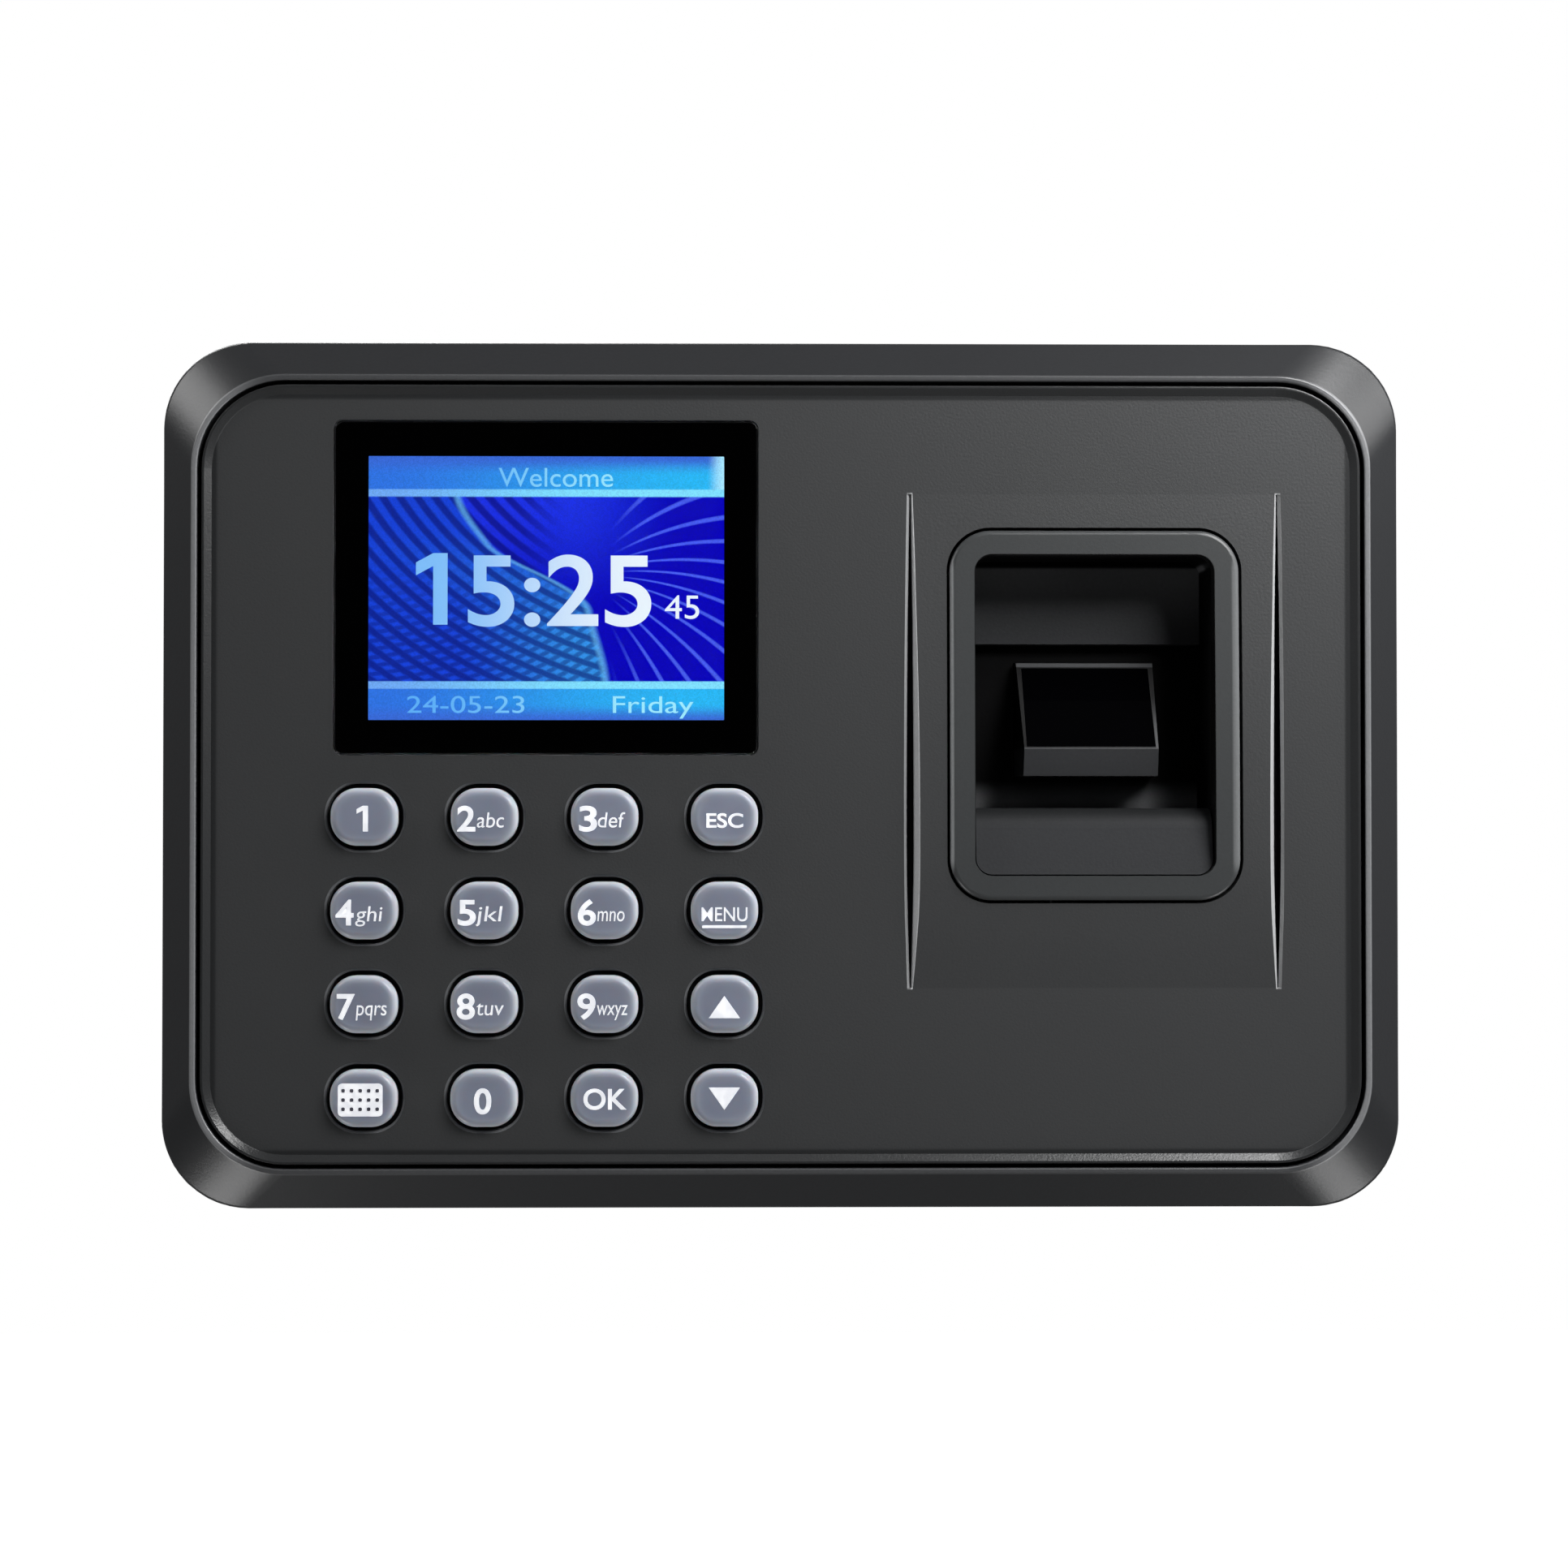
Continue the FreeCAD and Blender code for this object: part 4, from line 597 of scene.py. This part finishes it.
def dress_cad():
    assign(frame_material(), "front_frame")
    assign(panel_material(), "face_panel")
    assign(plastic("rear cover", rgb(34, 34, 36), 0.55, 1800.0, 0.00005, 0.08), "rear_cover")
    assign(ring_material(), "scanner_bezel")
    assign(well_material(), "scanner_hood")
    assign(surround_material(), "prism_surround")
    assign(plastic("inner black", rgb(18, 18, 19), 0.6), "scanner_holder", "coin_cell_holder")
    assign(plastic("foam", rgb(16, 16, 16), 0.9, 1500.0, 0.0001), "display_gasket")
    assign(plastic("black print", rgb(3, 3, 4), 0.3, 3000.0, 0.0), "display_mask")
    assign(plastic("moulded epoxy", rgb(22, 22, 24), 0.5), "processor", "memory_chips", "reset_switch",
           "power_jack")
    assign(plastic("natural nylon", rgb(212, 208, 196), 0.45), "cable_sockets", "usb_tongue", "reset_plunger")
    silicone = plastic("clear silicone", rgb(150, 150, 162), 0.5)
    assign(silicone, "keypad_mat", "keypad_skirts")
    for row in KEYS:
        for name in row:
            key_skirt(name, silicone)
    assign(plastic("amber film", rgb(158, 92, 28), 0.3), "display_flex")
    assign(plastic("LED body", rgb(226, 224, 208), 0.3), "key_lights", "scanner_lights")
    assign(plastic("black lens barrel", rgb(12, 12, 13), 0.4), "scanner_lens")
    assign(plastic("pressed paper", rgb(28, 28, 29), 0.85, 1200.0, 0.0001), "speaker_cone")
    assign(metal("zinc plated steel", rgb(184, 186, 190), 0.3), "case_screws", "board_screws", "panel_screws",
           "lock_screw")
    assign(metal("nickel plate", rgb(198, 198, 196), 0.25),
           "usb_shell", "crystal", "coin_cell", "display_tray")
    assign(metal("brass", rgb(196, 158, 84), 0.3), "threaded_inserts", "power_jack_pin")
    assign(metal("gold plate", rgb(222, 178, 92), 0.25), "key_contacts")
    assign(metal("aluminium can", rgb(176, 178, 182), 0.35), "capacitors")
    assign(metal("black coated steel", rgb(34, 34, 36), 0.45), "speaker_frame")
    assign(window_material(), "display_lens")
    assign(prism_material(), "scanner_prism")
    assign(picture_material(), "display_panel")
    assign(board_material(), "main_board", "scanner_board")
    assign(label_material(), "rear_label")
    assign(zinc_material(), "wall_plate")
    assign(key_material(), *["key_" + name for row in KEYS for name in row])


# ================================================================ printed symbols
def settle(piece):
    """Bakes a piece's place into its mesh."""
    bpy.ops.object.select_all(action="DESELECT")
    piece.select_set(True)
    bpy.context.view_layer.objects.active = piece
    bpy.ops.object.transform_apply(location=True, rotation=True, scale=True)


def letters(name, text, height, x, y, z, width, material, body, align="CENTER", slant=0.0, heavy=0.0):
    """Flat raised characters facing the viewer. x is the left edge or the middle, z the baseline."""
    bpy.ops.object.text_add(location=(0, 0, 0))
    piece = bpy.context.object
    piece.name = name
    piece.data.body = text
    piece.data.align_x = align
    piece.data.extrude = 0.02
    piece.data.shear = slant
    piece.data.offset = heavy
    bpy.ops.object.convert(target="MESH")
    piece = bpy.context.object
    cap_height = 0.73
    tall = height * MM / cap_height
    wide = width * MM / piece.dimensions.x if width else tall
    piece.scale = (wide, tall, PRINT_THICK * MM / 0.04)
    piece.rotation_euler = (math.radians(90), 0, 0)
    piece.location = (x * MM, y * MM, z * MM)
    settle(piece)
    bpy.ops.object.mode_set(mode="EDIT")
    bpy.ops.mesh.select_all(action="SELECT")
    bpy.ops.mesh.remove_doubles(threshold=0.000002)
    bpy.ops.mesh.normals_make_consistent(inside=False)
    bpy.ops.object.mode_set(mode="OBJECT")
    piece.data.materials.clear()
    piece.data.materials.append(material)
    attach(piece, body)
    return piece


def figure_one(name, height, x, y, z, material, body):
    """The figure 1: an upright bar whose top left end is drawn out. x is its middle, z its foot."""
    tall, wide = height * MM, 0.2 * height * MM
    bpy.ops.mesh.primitive_cube_add(size=1.0, location=(0, 0, 0))
    piece = bpy.context.object
    piece.name = name
    piece.scale = (wide, PRINT_THICK * MM, tall)
    settle(piece)
    bpy.ops.object.mode_set(mode="EDIT")
    bpy.ops.mesh.select_all(action="SELECT")
    bpy.ops.mesh.bisect(plane_co=(0, 0, 0.32 * tall), plane_no=(0, 0, 1))
    bpy.ops.mesh.select_all(action="DESELECT")
    bpy.ops.mesh.select_mode(type="FACE")
    bpy.ops.object.mode_set(mode="OBJECT")
    for face in piece.data.polygons:
        face.select = face.normal.x < -0.9 and face.center.z > 0.32 * tall
    bpy.ops.object.mode_set(mode="EDIT")
    bpy.ops.mesh.extrude_region_move(TRANSFORM_OT_translate={"value": (-0.24 * tall, 0, -0.13 * tall)})
    bpy.ops.object.mode_set(mode="OBJECT")
    piece.location = (x * MM, y * MM, z * MM + tall / 2)
    settle(piece)
    piece.data.materials.append(material)
    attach(piece, body)


def key_centre(name):
    for row, names in enumerate(KEYS):
        if name in names:
            return KEY_X0 + names.index(name) * KEY_PITCH_X, KEY_Z0 - row * KEY_PITCH_Z


def arrow(name, up, material):
    """A flat triangle made from a three-sided prism."""
    x, z = key_centre(name)
    bpy.ops.mesh.primitive_cylinder_add(
        vertices=3, radius=2.6 * MM, depth=PRINT_THICK * MM, location=(0, 0, 0),
        rotation=(math.radians(90), 0, 0))
    piece = bpy.context.object
    piece.name = "symbol_" + name
    settle(piece)
    if not up:
        piece.rotation_euler = (0, math.radians(180), 0)
        settle(piece)
    piece.scale = (1.0, 1.0, 0.82)
    drop = 0.9 if up else -0.5
    piece.location = (x * MM, PRINT_Y * MM, (z - drop) * MM)
    settle(piece)
    bpy.ops.object.mode_set(mode="EDIT")
    bpy.ops.mesh.select_all(action="SELECT")
    bpy.ops.mesh.bevel(offset=0.00003, segments=2)
    bpy.ops.object.mode_set(mode="OBJECT")
    piece.data.materials.append(material)
    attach(piece, "key_" + name)


def rounded_block(name, wide, thick, tall, radius):
    """A block at the origin, thick along Y, whose four long edges are rounded."""
    bpy.ops.mesh.primitive_cube_add(size=1.0, location=(0, 0, 0))
    piece = bpy.context.object
    piece.name = name
    piece.scale = (wide * MM, thick * MM, tall * MM)
    settle(piece)
    bpy.ops.object.mode_set(mode="EDIT")
    bpy.ops.mesh.select_all(action="DESELECT")
    bpy.ops.object.mode_set(mode="OBJECT")
    for edge in piece.data.edges:
        a, b = (piece.data.vertices[i].co for i in edge.vertices)
        edge.select = abs(a.y - b.y) > thick * MM / 2
    bpy.ops.object.mode_set(mode="EDIT")
    bpy.ops.mesh.bevel(offset=radius * MM, segments=5)
    bpy.ops.object.mode_set(mode="OBJECT")
    return piece


def plate(name, wide, tall, radius, x, y, z, material, body):
    """A thin rounded rectangle facing the viewer."""
    piece = rounded_block(name, wide, PRINT_THICK, tall, radius)
    piece.location = (x * MM, y * MM, z * MM)
    settle(piece)
    piece.data.materials.append(material)
    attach(piece, body)
    return piece


def key_skirt(name, material):
    """The thin sloping silicone wall that carries one key."""
    x, z = key_centre(name)
    depth = SKIRT_FOOT_Y - SKIRT_HEAD_Y
    half = depth * MM / 2
    piece = rounded_block("skirt_" + name, SKIRT_FOOT_W, depth, SKIRT_FOOT_H, SKIRT_R)
    bpy.ops.object.mode_set(mode="EDIT")
    bpy.ops.mesh.select_mode(type="FACE")
    bpy.ops.mesh.select_all(action="DESELECT")
    bpy.ops.object.mode_set(mode="OBJECT")
    for face in piece.data.polygons:
        face.select = abs(face.normal.y) > 0.9
    bpy.ops.object.mode_set(mode="EDIT")
    bpy.ops.mesh.delete(type="FACE")
    bpy.ops.object.mode_set(mode="OBJECT")
    for vertex in piece.data.vertices:
        if vertex.co.y < 0:
            vertex.co.x *= SKIRT_HEAD_W / SKIRT_FOOT_W
            vertex.co.z *= SKIRT_HEAD_H / SKIRT_FOOT_H
    wall = piece.modifiers.new("wall", "SOLIDIFY")
    wall.thickness = SKIRT_WALL * MM
    bpy.ops.object.modifier_apply(modifier="wall")
    for vertex in piece.data.vertices:
        vertex.co.y = max(-half, min(half, vertex.co.y))
    piece.location = (x * MM, SKIRT_FOOT_Y * MM - half, z * MM)
    settle(piece)
    piece.data.materials.append(material)
    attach(piece, "terminal")
    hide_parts("keypad_skirts")
    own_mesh(piece)


def keyboard_symbol(white, dark):
    """A small keyboard: a white plate with three rows of five dark dots."""
    x, z = key_centre("input")
    x, z = x - 0.35, z - 0.15
    plate("symbol_input", 6.4, 4.7, 0.6, x, PRINT_Y, z, white, "key_input")
    for row in range(3):
        for column in range(5):
            plate(f"symbol_input_dot_{row}_{column}", 0.5, 0.5, 0.15,
                  x + (column - 2) * 1.22, PRINT_Y - PRINT_THICK, z + (1 - row) * 1.32, dark, "key_input")


def print_keys():
    white = print_material()
    dark = dark_ink_material()
    small = {"2": "abc", "3": "def", "4": "ghi", "5": "jkl", "6": "mno", "7": "pqrs", "8": "tuv", "9": "wxyz"}
    for name, word in small.items():
        x, z = key_centre(name)
        body = "key_" + name
        wide = 4.4 if len(word) == 4 else 3.9
        letters("digit_" + name, name, 3.7, x - 3.9, PRINT_Y, z - 2.0, 2.6, white, body, "LEFT", 0.0, 0.02)
        letters("letters_" + name, word, 2.3, x - 1.1, PRINT_Y, z - 1.5, wide, white, body, "LEFT", 0.1)
    x, z = key_centre("1")
    figure_one("digit_1", 3.7, x + 0.3, PRINT_Y, z - 2.1, white, "key_1")
    x, z = key_centre("0")
    letters("digit_0", "0", 3.7, x - 0.1, PRINT_Y, z - 2.1, 2.5, white, "key_0", heavy=0.02)
    words = (
        ("esc", "ESC", 2.1, 5.3, 0.02),
        ("menu", "MENU", 2.1, 6.6, 0.004),
        ("ok", "OK", 3.0, 6.2, 0.02),
    )
    for name, word, tall, wide, heavy in words:
        x, z = key_centre(name)
        letters("word_" + name, word, tall, x, PRINT_Y, z - 1.5, wide, white, "key_" + name, heavy=heavy)
    x, z = key_centre("menu")
    plate("underline_menu", 6.4, 0.4, 0.1, x, PRINT_Y, z - 2.3, white, "key_menu")
    arrow("up", True, white)
    arrow("down", False, white)
    keyboard_symbol(white, dark)


def light_up_display():
    """The clock and the words that stand on the picture."""
    clock = clock_material("clock digits", rgb(128, 192, 250), rgb(238, 248, 255))
    pale = clock_material("picture words", rgb(96, 178, 248), rgb(160, 236, 255))
    y = PICTURE_Y
    figure_one("clock_one", 10.4, SCREEN_X - 15.5, y, SCREEN_Z - 5.2, clock, "terminal")
    letters("clock_digits", "5:25", 10.6, SCREEN_X + 1.9, y, SCREEN_Z - 5.2, 26.6, clock, "terminal",
            heavy=0.012)
    letters("clock_seconds", "45", 3.6, SCREEN_X + 19.7, y, SCREEN_Z - 4.3, 5.0, clock, "terminal")
    letters("greeting", "Welcome", 2.9, SCREEN_X + 1.3, y, SCREEN_Z + 14.9, 16.6, pale, "terminal")
    letters("date", "24-05-23", 2.6, SCREEN_X - 11.7, y, SCREEN_Z - 18.0, 17.0, pale, "terminal")
    letters("weekday", "Friday", 2.6, SCREEN_X + 15.2, y, SCREEN_Z - 18.0, 11.7, pale, "terminal")


# ================================================================ studio
def soft_light(name, place_at, aim_at, wide, tall, power, tint=(1.0, 1.0, 1.0)):
    data = bpy.data.lights.new(name, "AREA")
    data.shape = "RECTANGLE"
    data.size = wide
    data.size_y = tall
    data.energy = power
    data.color = tint
    lamp = bpy.data.objects.new(name, data)
    bpy.context.scene.collection.objects.link(lamp)
    lamp.location = place_at
    toward = lamp.location.copy()
    toward.x, toward.y, toward.z = (aim_at[i] - place_at[i] for i in range(3))
    lamp.rotation_euler = toward.to_track_quat("-Z", "Y").to_euler()
    return lamp


def studio():
    """White surroundings, a pale floor and soft lights, mostly from the upper right."""
    world = bpy.data.worlds.new("studio")
    world.use_nodes = True
    bpy.context.scene.world = world
    tree = world.node_tree
    back = tree.nodes["Background"]
    seen = tree.nodes.new("ShaderNodeLightPath").outputs["Is Camera Ray"]
    split = tree.nodes.new("ShaderNodeSeparateXYZ")
    put(tree, split.inputs[0], tree.nodes.new("ShaderNodeTexCoord").outputs["Generated"])
    dark, dim = (0.01, 0.01, 0.011, 1.0), (0.19, 0.19, 0.193, 1.0)
    sides = blend(tree, remap(tree, split.outputs[1], -0.9, -0.35), dark, dim)
    put(tree, back.inputs["Color"], blend(tree, seen, sides, (1.0, 1.0, 1.0, 1.0)))
    bpy.ops.mesh.primitive_plane_add(size=6.0, location=(0, 0, -0.70))
    floor = bpy.context.object
    floor.name = "floor"
    material, tree, shader = new_material("pale floor")
    tone = blend(tree, noise(tree, 3.0), (0.86, 0.86, 0.86, 1.0), (0.9, 0.9, 0.9, 1.0))
    seen = tree.nodes.new("ShaderNodeLightPath").outputs["Is Camera Ray"]
    put(tree, shader.inputs["Base Color"], blend(tree, seen, (0.2, 0.2, 0.2, 1.0), tone))
    shader.inputs["Roughness"].default_value = 0.9
    put(tree, shader.inputs["Emission Color"], tone)
    put(tree, shader.inputs["Emission Strength"], remap(tree, seen, 0.0, 1.0, 0.07, 1.1))
    floor.data.materials.append(material)
    lights = [soft_light("key light", (0.23, -0.24, 0.25), (0.0, -0.03, 0.0), 0.2, 0.2, 2.0)]
    for turn, power in ((145, 0.6), (29, 0.4), (234, 0.55), (310, 0.55)):
        angle = math.radians(turn)
        spot = (0.5 * math.cos(angle), -0.11, 0.5 * math.sin(angle))
        lights.append(soft_light(f"corner light {turn}", spot, (0.0, -0.03, 0.0), 0.16, 0.16, power))
    lights.append(soft_light("rear fill", (-0.3, 0.6, 0.5), (0, 0, 0), 0.5, 0.5, 6.0))


def camera():
    distance = 0.365
    front = -0.0276
    data = bpy.data.cameras.new("camera")
    data.sensor_width = 36.0
    data.lens = 36.0 * distance / 0.2284
    eye = bpy.data.objects.new("camera", data)
    bpy.context.scene.collection.objects.link(eye)
    aim = (0.0003, front, -0.0014)
    eye.location = (aim[0] - distance * math.tan(math.radians(0.7)), front - distance,
                    aim[2] - distance * math.tan(math.radians(0.8)))
    toward = eye.location.copy()
    toward.x, toward.y, toward.z = (aim[i] - eye.location[i] for i in range(3))
    eye.rotation_euler = toward.to_track_quat("-Z", "Y").to_euler()
    bpy.context.scene.camera = eye


dress_cad()
print_keys()
light_up_display()
studio()
camera()

bpy.context.scene.view_settings.view_transform = "Standard"
